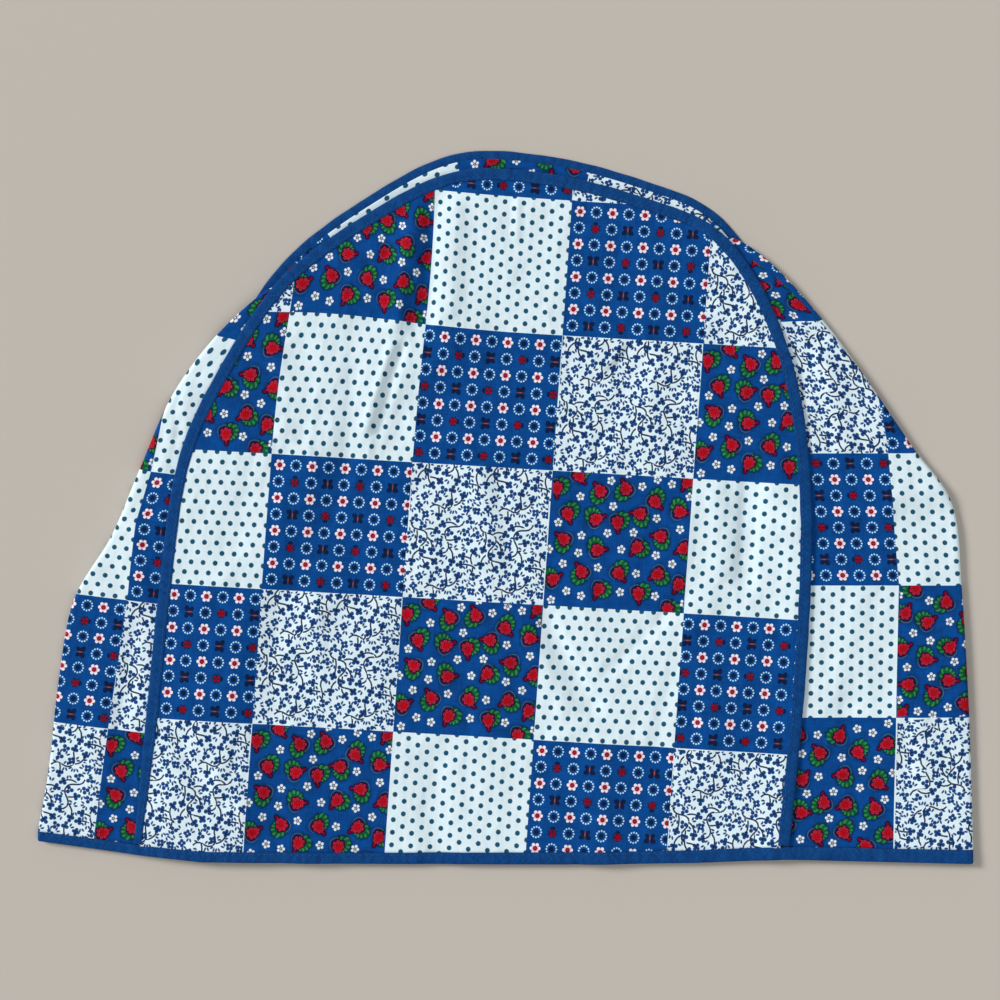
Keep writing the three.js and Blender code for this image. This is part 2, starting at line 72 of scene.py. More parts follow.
# Heights of the middles of the layers where they lie on one another, then how tightly they fold.
FLOOR_LAYER = CLOTH / 2
LAYER = CLOTH + GAP
TUCK_BOTTOM = TAPE + GAP + CLOTH / 2
TAPE_ON_CLOTH = CLOTH / 2 + GAP + TAPE / 2
TIGHT_FOLD = 0.66
TURNED_EDGE = 0.3
FOLD_SHAPE = {"widest": 0.25, "shortens": 8}    # radius as a share of the reach, and how fast it turns
FOLD_LEADS = (5, 20)            # mm of reach over which the fold, not the seam, sets the way out
TUCK_OPENS = (0.5, 8)           # mm of tuck over which its fold opens
RAMP = {"top": 4.5, "foot": 15, "clear": 4}                         # mm outside the back seam
LIFTS_OVER_TUCK = (-18, -6)     # mm from the front seam to the back one
BACK_SEAM = {"hem_shift": 50, "hem_lift": 1.5, "top_lift": 10}      # mm to the right, and up


def lerp(a, b, t):
    return a + (b - a) * t


def smoothstep(value, low, high):
    t = np.clip((value - low) / (high - low), 0, 1)
    return t * t * (3 - 2 * t)


class PlanLine:
    """A smooth line through the rows of a table, measured by shares of its length."""

    def __init__(self, rows):
        points = np.array(rows, float)
        padded = np.vstack([points[0], points, points[-1]])
        t = np.linspace(0, 1, 241)[:-1, None]
        runs = []
        for p0, p1, p2, p3 in zip(padded, padded[1:], padded[2:], padded[3:]):
            v0, v1 = (p2 - p0) / 2, (p3 - p1) / 2
            runs.append((2 * p1 - 2 * p2 + v0 + v1) * t ** 3
                        + (3 * p2 - 3 * p1 - 2 * v0 - v1) * t ** 2 + v0 * t + p1)
        self.points = np.vstack(runs + [points[-1:]])
        steps = np.linalg.norm(np.diff(self.points, axis=0), axis=1)
        self.length = steps.sum()
        self.shares = np.concatenate([[0], np.cumsum(steps)]) / self.length

    def at(self, u):
        return np.stack([np.interp(u, self.shares, self.points[:, k]) for k in (0, 1)], -1)

    def outward(self, u, stretch=0.01):
        along = self.at(np.clip(u + stretch, 0, 1)) - self.at(np.clip(u - stretch, 0, 1))
        along /= np.linalg.norm(along, axis=-1, keepdims=True)
        return np.stack([-along[..., 1], along[..., 0]], -1)


def behind(x, y):
    """The place on the back seam that goes with a place on the front one."""
    top, hem = 174, FRONT_SEAM[0][1]
    down = (top - y) / (top - hem)
    lift = lerp(BACK_SEAM["top_lift"], BACK_SEAM["hem_lift"], down)
    return x + BACK_SEAM["hem_shift"] * down ** 3, y + lift


front_seam = PlanLine(FRONT_SEAM)
back_seam = PlanLine([behind(x, y) for x, y in FRONT_SEAM])
left_fold, right_fold = PlanLine(LEFT_FOLD), PlanLine(RIGHT_FOLD)

# The tables' zero is set against the frame by the front tape's furthest points right and up.
HALF_SEAM_TAPE = 3.1
_, tape_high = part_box("front_binding")
table_origin = np.array(tape_high)[:2] - (front_seam.points.max(axis=0) + HALF_SEAM_TAPE) * MM


def lie_at(u):
    """How the strip lies at shares u of the front seam: sections out from the seam, in q and z."""
    u = np.atleast_1d(u).astype(float)
    seam = front_seam.at(u)
    fold = np.where((u < FOLD_ENDS[0])[:, None], left_fold.at(u / FOLD_ENDS[0]), seam)
    fold = np.where((u > FOLD_ENDS[1])[:, None], right_fold.at((1 - u) / (1 - FOLD_ENDS[1])), fold)
    to_fold = fold - seam
    length = np.linalg.norm(to_fold, axis=1)
    reach = np.maximum(length - CLOTH / 2, 0)
    toward = to_fold / np.maximum(length, 1e-6)[:, None]
    out = lerp(front_seam.outward(u, stretch=0.03), toward, smoothstep(reach, *FOLD_LEADS)[:, None])
    out /= np.linalg.norm(out, axis=1, keepdims=True)
    along = np.stack([out[:, 1], -out[:, 0]], -1)
    to_back = back_seam.at(u) - seam
    back = (to_back * out).sum(1)
    tuck = np.maximum((GUSSET_WIDTH + back) / 2 - reach, 0)
    turned = (smoothstep(u, FOLD_ENDS[0] - TURN, FOLD_ENDS[0] + TURN)
              * (1 - smoothstep(u, FOLD_ENDS[1] - TURN, FOLD_ENDS[1] + TURN)))
    return {"u": u, "seam": seam, "out": out, "along": along, "reach": reach, "back": back,
            "slide": (to_back * along).sum(1), "tuck": tuck, "turned": turned}


def curl(q, z, heading, straight, angle, length, steps):
    """A run in section: straight, then curving evenly through an angle."""
    run = [(q, z), (q + straight * np.cos(heading), z + straight * np.sin(heading))]
    for i in range(steps):
        direction = heading + angle * (i + 0.5) / steps
        q0, z0 = run[-1]
        run.append((q0 + length / steps * np.cos(direction), z0 + length / steps * np.sin(direction)))
    return np.stack([p[0] for p in run], 1), np.stack([p[1] for p in run], 1)


def tuck_run(lie, steps=8):
    """The strip's far side in section: from the back tape inwards into the tuck, and round its fold."""
    low, high = TUCK_OPENS
    angle = np.pi * np.clip((lie["tuck"] - low) / (high - low), 0, 1)
    straight = np.maximum(TURNED_EDGE, lie["tuck"] - high)
    edge = lie["back"] - TAPE
    return curl(edge, np.full_like(edge, TUCK_BOTTOM), angle, straight, -angle,
                np.pi * TIGHT_FOLD, steps)


def return_height(lie, q):
    """Height of the lower run: over the tuck, then down a ramp to the floor outside the back tape."""
    raised = tuck_run(lie)[1][:, -1:]
    back = lie["back"][:, None]
    return lerp(raised, FLOOR_LAYER, smoothstep(q - back, RAMP["top"], RAMP["foot"]))


def upper_height(lie):
    """Height of the upper run: a layer above the tuck's bottom or, well inside it, above its fold."""
    over_tuck = smoothstep(lie["back"], *LIFTS_OVER_TUCK)
    return LAYER + lerp(TUCK_BOTTOM, tuck_run(lie)[1][:, -1], over_tuck)


def fold_run(lie, steps=10):
    """The upper run in section: from the front seam out to the outward fold, and round it."""
    reach, turned = lie["reach"], lie["turned"]
    below = return_height(lie, (reach - TIGHT_FOLD)[:, None])[:, 0]
    widest = np.maximum(reach * FOLD_SHAPE["widest"], TIGHT_FOLD)
    radius = np.clip((upper_height(lie) - below) / 2, TIGHT_FOLD, widest)
    radius = lerp(radius, TIGHT_FOLD, turned)
    shortened = np.minimum(FOLD_SHAPE["shortens"] * turned, 1)
    straight = lerp(np.maximum(reach - radius, TURNED_EDGE), TURNED_EDGE, shortened)
    zero = np.zeros_like(reach)
    q, z = curl(zero, zero, -np.pi * turned, straight, -np.pi * (1 - turned),
                np.pi * radius, steps)
    drop = return_height(lie, q[:, -1:]) - z[:, -1:]
    return q, z + drop


def split_straight(q, z, rows, finer_at_start=1.0):
    """A run with more rows along its straight first stretch."""
    t = np.linspace(0, 1, rows + 1)[None, :-1] ** finer_at_start
    first_q = lerp(q[:, :1], q[:, 1:2], t)
    first_z = lerp(z[:, :1], z[:, 1:2], t)
    return np.hstack([first_q, q[:, 1:]]), np.hstack([first_z, z[:, 1:]])


def crease_height(rows, x, y):
    """Soft ridges, and troughs where the height is below 0: (x1, y1, x2, y2, height, width)."""
    height = np.zeros_like(x)
    for x1, y1, x2, y2, tall, width in rows:
        dx, dy = x2 - x1, y2 - y1
        span = math.hypot(dx, dy)
        share = ((x - x1) * dx + (y - y1) * dy) / span ** 2
        aside = ((x - x1) * dy - (y - y1) * dx) / span / width
        past = np.maximum(np.maximum(-share, share - 1), 0) * span / width
        height += tall * np.exp(-2 * (aside ** 2 + past ** 2))
    return height


HANDLING = {"x": (-240, 240), "y": (-190, 180), "leans": 0.6, "length": (18, 60), "height": (0.3, 0.9),
            "width": (4, 9)}


def handling_folds(count, seed):
    """Low folds that handling leaves all over a thin cotton, most of them upright."""
    dice = random.Random(seed)
    rows = []
    for _ in range(count):
        x, y = dice.uniform(*HANDLING["x"]), dice.uniform(*HANDLING["y"])
        way = math.pi / 2 + dice.gauss(0, HANDLING["leans"])
        length = dice.uniform(*HANDLING["length"])
        tall = dice.choice((-1, 1)) * dice.uniform(*HANDLING["height"])
        end_x, end_y = x + length * math.cos(way), y + length * math.sin(way)
        rows.append((x, y, end_x, end_y, tall, dice.uniform(*HANDLING["width"])))
    return rows


def place_mesh(name, points, faces, edges=(), material=None):
    """A new object at the origin, from points in mm as in the tables."""
    placed = points.reshape(-1, 3) * MM
    placed[:, :2] += table_origin
    placed[:, 2] = np.maximum(placed[:, 2], 0)
    mesh = bpy.data.meshes.new(name)
    mesh.from_pydata(placed.tolist(), edges, faces)
    if mesh.validate():
        print(name, "had faults in its mesh")
    mesh.shade_smooth()
    if material:
        mesh.materials.append(material)
    piece = bpy.data.objects.new(name, mesh)
    scene.collection.objects.link(piece)
    return piece


def keep_vectors(mesh, name, domain, rows):
    made = mesh.attributes.new(name, "FLOAT_VECTOR", domain)
    made.data.foreach_set("vector", rows.astype(np.float32).ravel())


LAYERS_CROSS = 40               # mm of print between a face's corners where one layer passes another


def closed_sheet(name, face, lining, place):
    """One closed mesh of printed cotton from its right and its wrong side, as grids of points.
    The print's place goes with each corner as u, v and which side of the cloth it is on."""
    rows, columns = face.shape[:2]
    count = rows * columns
    grid = np.arange(count).reshape(rows, columns)
    a, b, c, d = grid[:-1, :-1], grid[:-1, 1:], grid[1:, 1:], grid[1:, :-1]
    right = np.stack([a, b, c, d], -1).reshape(-1, 4)
    wrong = np.stack([a, d, c, b], -1).reshape(-1, 4) + count
    rim = np.concatenate([grid[0, :-1], grid[:-1, -1], grid[-1, :0:-1], grid[:0:-1, 0]])
    after = np.roll(rim, -1)
    edge = np.stack([after, rim, rim + count, after + count], -1)
    quads = np.vstack([right, wrong, edge])
    piece = place_mesh(name, np.stack([face, lining]), quads.tolist(), material=printed_cotton)
    side = np.repeat([0.0, 1.0], count)
    where = np.column_stack([np.tile(place.reshape(-1, 2), (2, 1)), side])[quads]
    furthest = where[:, :, 0].max(axis=1)
    cut = furthest - where[:, :, 0].min(axis=1) > LAYERS_CROSS
    where[cut, :, 0] = np.maximum(where[cut, :, 0], furthest[cut, None] - 1)
    keep_vectors(piece.data, "print", "CORNER", where)
    place_motifs(piece.data, *where.mean(axis=1).T[:2])
    return piece


# The print is patchwork of four designs in one repeat: a vine on white, berries on blue, dots on
# white, and small flowers, rings and insects on blue. Its designs are charted on one patch.
PATCH = (76.2, 69.5)            # mm, width and height of a patch
VINE, BERRY, DOT, FLOWER = range(4)
# Where the cloth of the panels starts a new repeat, and by how many designs it jumps there.
REPEAT_JUMP = {"above_row": 4.5, "right_of_column": 6.5, "by": 2}
BERRIES = [                     # (x, y, heading of the tip in degrees) on a patch
    (15, 67, -50), (3, 60, -90), (26, 61, 130), (40, 63, 115), (57, 56, -45), (71, 52, -5),
    (73, 67, -125), (10, 47, -70), (26, 46, 20), (37, 44, -85), (48, 50, 175), (60, 39, 175),
    (8, 35, 145), (28, 30, 5), (48, 32, -130), (73, 33, -155), (19, 19, 125), (40, 18, -50),
    (60, 19, -150), (5, 14, 30), (29, 9, -115), (51, 8, -85), (72, 14, -120), (67, 1, -110)]
BLOSSOMS = [                    # (x, y) of the small white flowers between the berries
    (32, 66), (41, 70), (57, 68), (65, 66), (49, 64), (16, 57), (34, 53), (75, 60), (58, 48),
    (5, 43), (71, 43), (18, 37), (32, 39), (46, 40), (17, 28), (40, 31), (59, 29), (1, 29),
    (9, 22), (28, 21), (49, 19), (68, 25), (12, 8), (20, 6), (41, 9), (60, 8), (4, 3), (76, 5)]
VINE_REPEAT = (37.4, 41.5)
STEMS = [                       # (x, y, heading, swing, length) of the wavy main stems, in mm and degrees
    (2, 38, -70, 62, 30), (30, 40, -118, -58, 26), (20, 20, -20, 70, 24), (12, 6, 40, -64, 20),
    (36, 14, 60, 50, 14), (18, 34, 10, 60, 12), (6, 27, -150, 60, 12), (24, 26, -10, -60, 14)]
STEM_WAVE = 21.0
PACE = 0.5                      # mm between the points of a stem
TWIG = {"first": 3.5, "every": 4.0, "leaves_at": 1.0, "bends": 0.17, "length": 7.5, "lengths": (0.6, 1.2),
        "free_from": 2.0, "clear": 1.5, "end_clear": 1.4, "least_paces": 5}
SPRIGS = {"count": 36, "apart": 4.9, "joined_apart": 4.5, "beyond_twig": 1.0}
LEAF_PAIRS = {"count": 60, "from_sprig": 2.9, "apart": 2.6, "from_stem": 1.1}
TRIES = 6000
MOTIF = {"berry": 1, "blossom": 2, "sprig3": 3, "sprig4": 4, "leaves": 5}
REACH = {"berry": 5.0, "blossom": 2.6, "sprig3": 2.1, "sprig4": 2.1, "leaves": 1.3}


def vine_layout():
    """One repeat of the vine: wavy stems with twigs on alternate sides, a sprig at the end of each,
    then loose sprigs and pairs of leaves wherever there is room."""
    dice = random.Random(11)
    stems, sprigs, leaves = [], [], []

    def room(x, y, taken, apart):
        for other in taken:
            dx = math.remainder(x - other[0], VINE_REPEAT[0])
            dy = math.remainder(y - other[1], VINE_REPEAT[1])
            if math.hypot(dx, dy) < apart:
                return False
        return True

    def walk(x, y, heading, turn_at, length):
        run = []
        for k in range(int(length / PACE)):
            way = heading + turn_at(k * PACE)
            x, y = x + PACE * math.cos(way), y + PACE * math.sin(way)
            run.append((x, y, way))
        return run

    def add(run, free_from):
        """Keeps the run as far as it is clear of the stems before it, if a sprig fits at its end."""
        clear = 0
        for k, (x, y, way) in enumerate(run):
            if k * PACE > free_from and not room(x, y, stems, TWIG["clear"]):
                break
            clear = k + 1
        for end in range(clear, TWIG["least_paces"], -1):
            x, y, way = run[end - 1]
            x, y = x + SPRIGS["beyond_twig"] * math.cos(way), y + SPRIGS["beyond_twig"] * math.sin(way)
            if room(x, y, sprigs, SPRIGS["joined_apart"]) and room(x, y, stems, TWIG["end_clear"]):
                sprigs.append((x, y, way, dice.choice(("sprig3", "sprig3", "sprig3", "sprig4"))))
                stems.extend(run[:end])
                return run[:end]
        return []

    for x, y, heading, swing, length in STEMS:
        swing = math.radians(swing)

        def wave(s):
            return swing * math.sin(2 * math.pi * s / STEM_WAVE)

        main = add(walk(x, y, math.radians(heading), wave, length), 0)
        starts = range(int(TWIG["first"] / PACE), len(main) - 3, int(TWIG["every"] / PACE))
        for k, start in enumerate(starts):
            px, py, way = main[start]
            for side in ((1, -1) if k % 2 else (-1, 1)):
                bend = -side * TWIG["bends"] * dice.choice((1, 1, -0.5))
                long = TWIG["length"] * dice.uniform(*TWIG["lengths"])
                twig = walk(px, py, way + side * TWIG["leaves_at"], lambda s: bend * s, long)
                if add(twig, TWIG["free_from"]):
                    break
    for kind, placed, count in (("sprig", sprigs, SPRIGS["count"]), ("leaves", leaves, LEAF_PAIRS["count"])):
        for _ in range(TRIES):
            x, y = dice.uniform(0, VINE_REPEAT[0]), dice.uniform(0, VINE_REPEAT[1])
            turn = dice.uniform(0, 2 * math.pi)
            if len(placed) >= count or not room(x, y, stems, LEAF_PAIRS["from_stem"] + (kind == "sprig")):
                continue
            if kind == "sprig":
                if room(x, y, sprigs, SPRIGS["apart"]):
                    sprigs.append((x, y, turn, dice.choice(("sprig3", "sprig3", "sprig4"))))
            elif room(x, y, sprigs, LEAF_PAIRS["from_sprig"]) and room(x, y, leaves, LEAF_PAIRS["apart"]):
                leaves.append((x, y, turn, "leaves"))
    return stems, sprigs + leaves


vine_stems, vine_motifs = vine_layout()
berry_motifs = [(bx, by, math.radians(heading), "berry") for bx, by, heading in BERRIES]
berry_motifs += [(bx, by, 0.6 * k, "blossom") for k, (bx, by) in enumerate(BLOSSOMS)]
NO_STEM_NEAR = 1000.0


def place_motifs(mesh, u, v):
    """Gives each face the two motifs nearest to it, each as its centre and a code for its kind and
    turn, and the nearest point of a stem with its direction."""
    column, row = np.floor(u / PATCH[0]), np.floor(v / PATCH[1])
    jump = (row > REPEAT_JUMP["above_row"]) & (column > REPEAT_JUMP["right_of_column"])
    design = np.mod(column - row + REPEAT_JUMP["by"] * jump, 4)
    x, y = u - column * PATCH[0], v - row * PATCH[1]
    found = {"motif_a": np.zeros((len(u), 3)), "motif_b": np.zeros((len(u), 3)),
             "stem": np.full((len(u), 3), NO_STEM_NEAR)}

    def nearest(mask, rows, reach, repeat):
        at = np.array([r[:2] for r in rows], float)
        dx, dy = x[mask][:, None] - at[:, 0], y[mask][:, None] - at[:, 1]
        if repeat:
            dx -= np.round(dx / repeat[0]) * repeat[0]
            dy -= np.round(dy / repeat[1]) * repeat[1]
        order = np.argsort(np.hypot(dx, dy) - reach, axis=1)
        pick = np.arange(len(order))
        for k in (0, 1):
            best = order[:, k]
            yield best, x[mask] - dx[pick, best], y[mask] - dy[pick, best]

    for drawn, rows, repeat in ((BERRY, berry_motifs, None), (VINE, vine_motifs, VINE_REPEAT)):
        mask = design == drawn
        if mask.any():
            codes = np.array([10 * MOTIF[r[3]] + r[2] % (2 * math.pi) for r in rows])
            reach = np.array([REACH[r[3]] for r in rows])
            pair = nearest(mask, rows, reach, repeat)
            for label, (best, cx, cy) in zip(("motif_a", "motif_b"), pair):
                found[label][mask] = np.column_stack([cx, cy, codes[best]])
    mask = design == VINE
    if mask.any():
        best, cx, cy = next(nearest(mask, vine_stems, 0, VINE_REPEAT))
        ways = np.array([stem[2] for stem in vine_stems])
        found["stem"][mask] = np.column_stack([cx, cy, ways[best]])
    for label, rows in found.items():
        keep_vectors(mesh, label, "FACE", rows)


class Field:
    """The output of a node, so that sums and products of outputs read as arithmetic."""

    def __init__(self, net, socket):
        self.net, self.socket = net, socket

    def __rsub__(self, other):
        return self.net.math("SUBTRACT", other, self)

    def __abs__(self):
        return self.net.math("ABSOLUTE", self)


def with_another(operation):
    return lambda one, other: one.net.math(operation, one, other)


for operation, signs in (
        ("ADD", "add radd"), ("SUBTRACT", "sub"), ("MULTIPLY", "mul rmul"), ("DIVIDE", "truediv"),
        ("LESS_THAN", "lt"), ("GREATER_THAN", "gt"), ("MAXIMUM", "or"), ("FLOORED_MODULO", "mod")):
    for sign in signs.split():
        setattr(Field, "__" + sign + "__", with_another(operation))


class Net:
    """Short names for the nodes of a material or a node group."""

    def __init__(self, tree):
        self.tree = tree

    def put(self, socket, value):
        if isinstance(value, Field):
            self.tree.links.new(value.socket, socket)
        else:
            socket.default_value = value

    def node(self, kind, inputs=None, **settings):
        """A new node with its settings, then its inputs by name or number."""
        made = self.tree.nodes.new(kind)
        for key, value in settings.items():
            setattr(made, key, value)
        for key, value in (inputs or {}).items():
            self.put(made.inputs[key], value)
        return made

    def out(self, kind, inputs, output=0, **settings):
        return Field(self, self.node(kind, inputs, **settings).outputs[output])

    def math(self, operation, *values, clamp=False):
        return self.out("ShaderNodeMath", dict(enumerate(values)), operation=operation, use_clamp=clamp)

    def floor(self, value):
        return self.math("FLOOR", value)

    def same(self, value, number):
        return self.math("COMPARE", value, float(number), 0.1)

    def join(self, x, y, z=0.0):
        return self.out("ShaderNodeCombineXYZ", {"X": x, "Y": y, "Z": z})

    def length(self, x, y):
        return self.out("ShaderNodeVectorMath", {0: self.join(x, y)}, "Value", operation="LENGTH")

    def split(self, vector):
        made = self.node("ShaderNodeSeparateXYZ", {"Vector": vector})
        return [Field(self, socket) for socket in made.outputs]

    def attribute(self, name):
        return self.out("ShaderNodeAttribute", {}, "Vector", attribute_name=name)

    def noise(self, x, y, detail=2.0):
        inputs = {"Vector": self.join(x, y), "Scale": 1.0, "Detail": detail}
        return self.out("ShaderNodeTexNoise", inputs, noise_dimensions="2D")

    def mix(self, mask, under, over, blend="MIX"):
        inputs = {0: mask, 6: under, 7: over}
        return self.out("ShaderNodeMix", inputs, 2, data_type="RGBA", blend_type=blend)

    def paint(self, color, *layers):
        """Colours laid over one another, each through its mask."""
        for mask, over in layers:
            color = self.mix(mask, color, over)
        return color

    def bump(self, height, distance, strength, **under):
        inputs = {"Height": height, "Distance": distance, "Strength": strength, **under}
        return self.out("ShaderNodeBump", inputs)

    def inside(self, distance, radius, soft=0.2):
        """1 where the distance is under the radius, over a soft edge."""
        return self.math("MULTIPLY_ADD", radius - distance, 1 / soft, 0.5, clamp=True)

    def line(self, distance, width, soft=0.2):
        return self.inside(abs(distance), width / 2, soft)

    def oval(self, x, y, cx, cy, rx, ry, soft=0.2):
        return self.inside(self.length((x - cx) / rx, (y - cy) / ry), 1.0, soft / min(rx, ry))

    def turned(self, x, y, angle):
        c, s = self.math("COSINE", angle), self.math("SINE", angle)
        return x * c + y * s, y * c - x * s

    def beside_motif(self, x, y, name):
        """The place along and aside of the motif that the face carries, and the motif's kind."""
        cx, cy, code = self.split(self.attribute(name))
        kind = self.floor(code / 10)
        return *self.turned(x - cx, y - cy, code - kind * 10), kind

    def use(self, tree, *values):
        made = self.node("ShaderNodeGroup", node_tree=tree)
        for socket, value in zip(made.inputs, values):
            self.put(socket, value)
        return [Field(self, socket) for socket in made.outputs]


def new_group(name, inputs, outputs=("Color",), family="Shader"):
    """A node group. What an input starts at tells its kind, and a word names its kind outright."""
    tree = bpy.data.node_groups.new(name, family + "NodeTree")
    net = Net(tree)
    for label, start in inputs.items():
        if isinstance(start, tuple):
            kind = "Color" if len(start) == 4 else "Vector"
        else:
            kind = {float: "Float", int: "Int"}.get(type(start), start)
        socket = tree.interface.new_socket(label, in_out="INPUT", socket_type="NodeSocket" + kind)
        if kind != start:
            socket.default_value = start
    for label in outputs:
        kind = label if label in ("Color", "Geometry") else "Float"
        tree.interface.new_socket(label, in_out="OUTPUT", socket_type="NodeSocket" + kind)
    given = [Field(net, socket) for socket in net.node("NodeGroupInput").outputs if socket.name]
    end = net.node("NodeGroupOutput")

    def give(*values):
        for socket, value in zip(end.inputs, values):
            net.put(socket, value)

    return tree, net, given, give


def srgb(*color):
    linear = [c / 255 / 12.92 if c <= 10 else ((c / 255 + 0.055) / 1.055) ** 2.4 for c in color]
    return (*linear, 1.0)


INK = {                         # the colours of the print
    "blue ground": srgb(0, 71, 143), "white ground": srgb(229, 247, 253), "paled": srgb(206, 218, 228),
    "halo": srgb(0, 38, 88), "leaf edge": srgb(0, 40, 66), "leaf": srgb(6, 88, 50),
    "leaf rib": srgb(64, 160, 84), "tendril": srgb(126, 156, 106), "berry outline": srgb(22, 0, 46),
    "berry": srgb(84, 0, 28), "drupe": srgb(150, 0, 28), "drupe rim": srgb(222, 70, 104),
    "berry middle": srgb(188, 0, 16), "blossom shade": srgb(4, 34, 92), "blossom": srgb(232, 242, 248),
    "blossom middle": srgb(70, 86, 104), "stamens": srgb(206, 208, 170), "stem": srgb(22, 42, 82),
    "sprig": srgb(12, 66, 128), "dot": srgb(24, 84, 110), "dark": srgb(8, 20, 50),
    "petals": srgb(250, 242, 250), "petal base": srgb(224, 150, 176), "flower middle": srgb(150, 4, 36),
    "pollen": srgb(206, 60, 84), "ring of dots": srgb(190, 236, 255), "insect body": srgb(182, 84, 72),
    "wing case": srgb(148, 4, 36)}

# Petals or dots set evenly round a centre: the distance from the middle of the nearest one.
petals, net, (x, y, count, ring), give = new_group(
    "Petals round a centre", {"X": 0.0, "Y": 0.0, "Count": 5.0, "Ring": 1.5}, ("Distance", "From centre"))
sector = net.math("DIVIDE", 2 * math.pi, count)
angle = net.math("ARCTAN2", y, x)
angle = angle - net.math("ROUND", angle / sector) * sector
radius = net.length(x, y)
give(net.length(radius * net.math("COSINE", angle) - ring, radius * net.math("SINE", angle)), radius)

# One motif of the berry design, over what is under it. The berry is a ring of drupes round a
# bright middle, with a tail, a dark outline, a ribbed leaf at its side and a tendril. Places are
# in mm along and aside of its axis, and the ring narrows towards the tip.
berry_motif, net, (under, x, y, kind), give = new_group(
    "Berry or blossom", {"Under": INK["blue ground"], "X": 0.0, "Y": 0.0, "Kind": 0.0})
drupes, middle = net.use(petals, (x + 0.4) / 1.2, y / (0.95 - x * 0.09), 8.0, 2.3)
tail = net.length(x - 4.15, y - 0.3)
leaf_x, leaf_y = net.turned(x + 0.8, y - 0.8, 2.15)
spread, reach = net.math("ARCTAN2", leaf_y, leaf_x), net.length(leaf_x, leaf_y)
ribs = net.math("SINE", spread * 13.0 + reach * 0.9)
reach = reach + abs(spread) * 1.85 - ribs * 0.3
leaf = net.inside(reach, 6.7, 0.6)
lit_ribs = net.inside(ribs * -1.0, -0.2, 0.9) * net.line(reach - 5.5, 1.9) * leaf
tendril = net.line(middle - 4.2, 0.2) * (x < 0.6) * (y < 0.0)
outline = net.inside(drupes, 1.5, 0.4) | net.inside(middle, 2.9, 0.3) | net.inside(tail, 1.45, 0.4)
berry = net.paint(
    under,
    (net.inside(middle, 4.7, 2.8) * 0.75, INK["halo"]),
    (net.inside(reach, 7.5, 1.3), INK["leaf edge"]),
    (leaf, INK["leaf"]),
    (lit_ribs * 0.6, INK["leaf rib"]),
    (tendril * 0.45, INK["tendril"]),
    (outline, INK["berry outline"]),
    (net.inside(drupes, 1.05) | net.inside(middle, 2.4), INK["berry"]),
    (net.inside(drupes, 0.82, 0.3) | net.inside(tail, 0.8, 0.5) * 0.6, INK["drupe"]),
    (net.line(drupes - 0.55, 0.3) * 0.5, INK["drupe rim"]),
    (net.inside(middle, 1.6, 0.6) * 0.9, INK["berry middle"]))
lobes, middle = net.use(petals, x, y, 5.0, 1.52)
blossom = net.paint(
    under,
    (net.inside(lobes, 1.05, 0.3) * 0.7, INK["blossom shade"]),
    (net.inside(lobes, 0.76, 0.3), INK["blossom"]),
    (net.inside(middle, 0.75, 0.3) * 0.8, INK["blossom middle"]),
    (net.inside(middle, 0.34), INK["stamens"]))
give(net.mix(net.same(kind, MOTIF["berry"]), blossom, berry))

berry_print, net, (x, y, ground), give = new_group(
    "Berry design", {"X": 0.0, "Y": 0.0, "Ground": INK["blue ground"]})
color = ground
for name in ("motif_b", "motif_a"):
    color = net.use(berry_motif, color, *net.beside_motif(x, y, name))[0]
give(color)

# The vine design: thin stems, sprigs of three or four petals and pairs of leaves on white.
vine_motif, net, (x, y, kind), give = new_group(
    "Sprig or leaves", {"X": 0.0, "Y": 0.0, "Kind": 0.0}, ("Mask",))
fourth = net.same(kind, MOTIF["sprig4"])
petal = net.inside(net.use(petals, x, y, fourth + 3.0, 1.24)[0] + fourth * 0.1, 1.07)
leaves = net.oval(*net.turned(x, abs(y), 0.4), 0.2, 0.74, 1.03, 0.52)
give(net.math("MULTIPLY_ADD", leaves - petal, net.same(kind, MOTIF["leaves"]), petal))

STEM_DRAWN = {"width": 0.86, "past_point": 1.5}
vine_print, net, (x, y, ground, stem, sprig), give = new_group(
    "Vine design", {"X": 0.0, "Y": 0.0, "Ground": INK["white ground"], "Stem": INK["stem"],
                    "Sprig": INK["sprig"]})
cx, cy, turn = net.split(net.attribute("stem"))
along, aside = net.turned(x - cx, y - cy, turn)
color = ground
for name in ("motif_b", "motif_a"):
    color = net.mix(net.use(vine_motif, *net.beside_motif(x, y, name))[0], color, sprig)
drawn = net.line(aside, STEM_DRAWN["width"]) * (abs(along) < STEM_DRAWN["past_point"])
give(net.mix(drawn, color, stem))

# The dot design: round dots on white, in staggered rows that lie across or upright. Both sets of
# rows are tried, and the nearest dot counts.
dot_print, net, (x, y, ground, upright, pitch, row, dot, radius), give = new_group(
    "Dot design", {"X": 0.0, "Y": 0.0, "Ground": INK["white ground"], "Upright": 0.0, "Pitch": 6.5,
                   "Row": 5.2, "Dot": INK["dot"], "Radius": 1.32})
x, y = x + 1.8, y - 1.5
x, y = x + upright * (y - x), y + upright * (x - y)
found = []
for shift in (0.0, 0.5):
    across, up = x / pitch - shift, y / row / 2 - shift
    across, up = across - net.math("ROUND", across), up - net.math("ROUND", up)
    found.append(net.length(across * pitch, up * row * 2))
give(net.mix(net.inside(net.math("MINIMUM", *found), radius, 0.3), ground, dot))

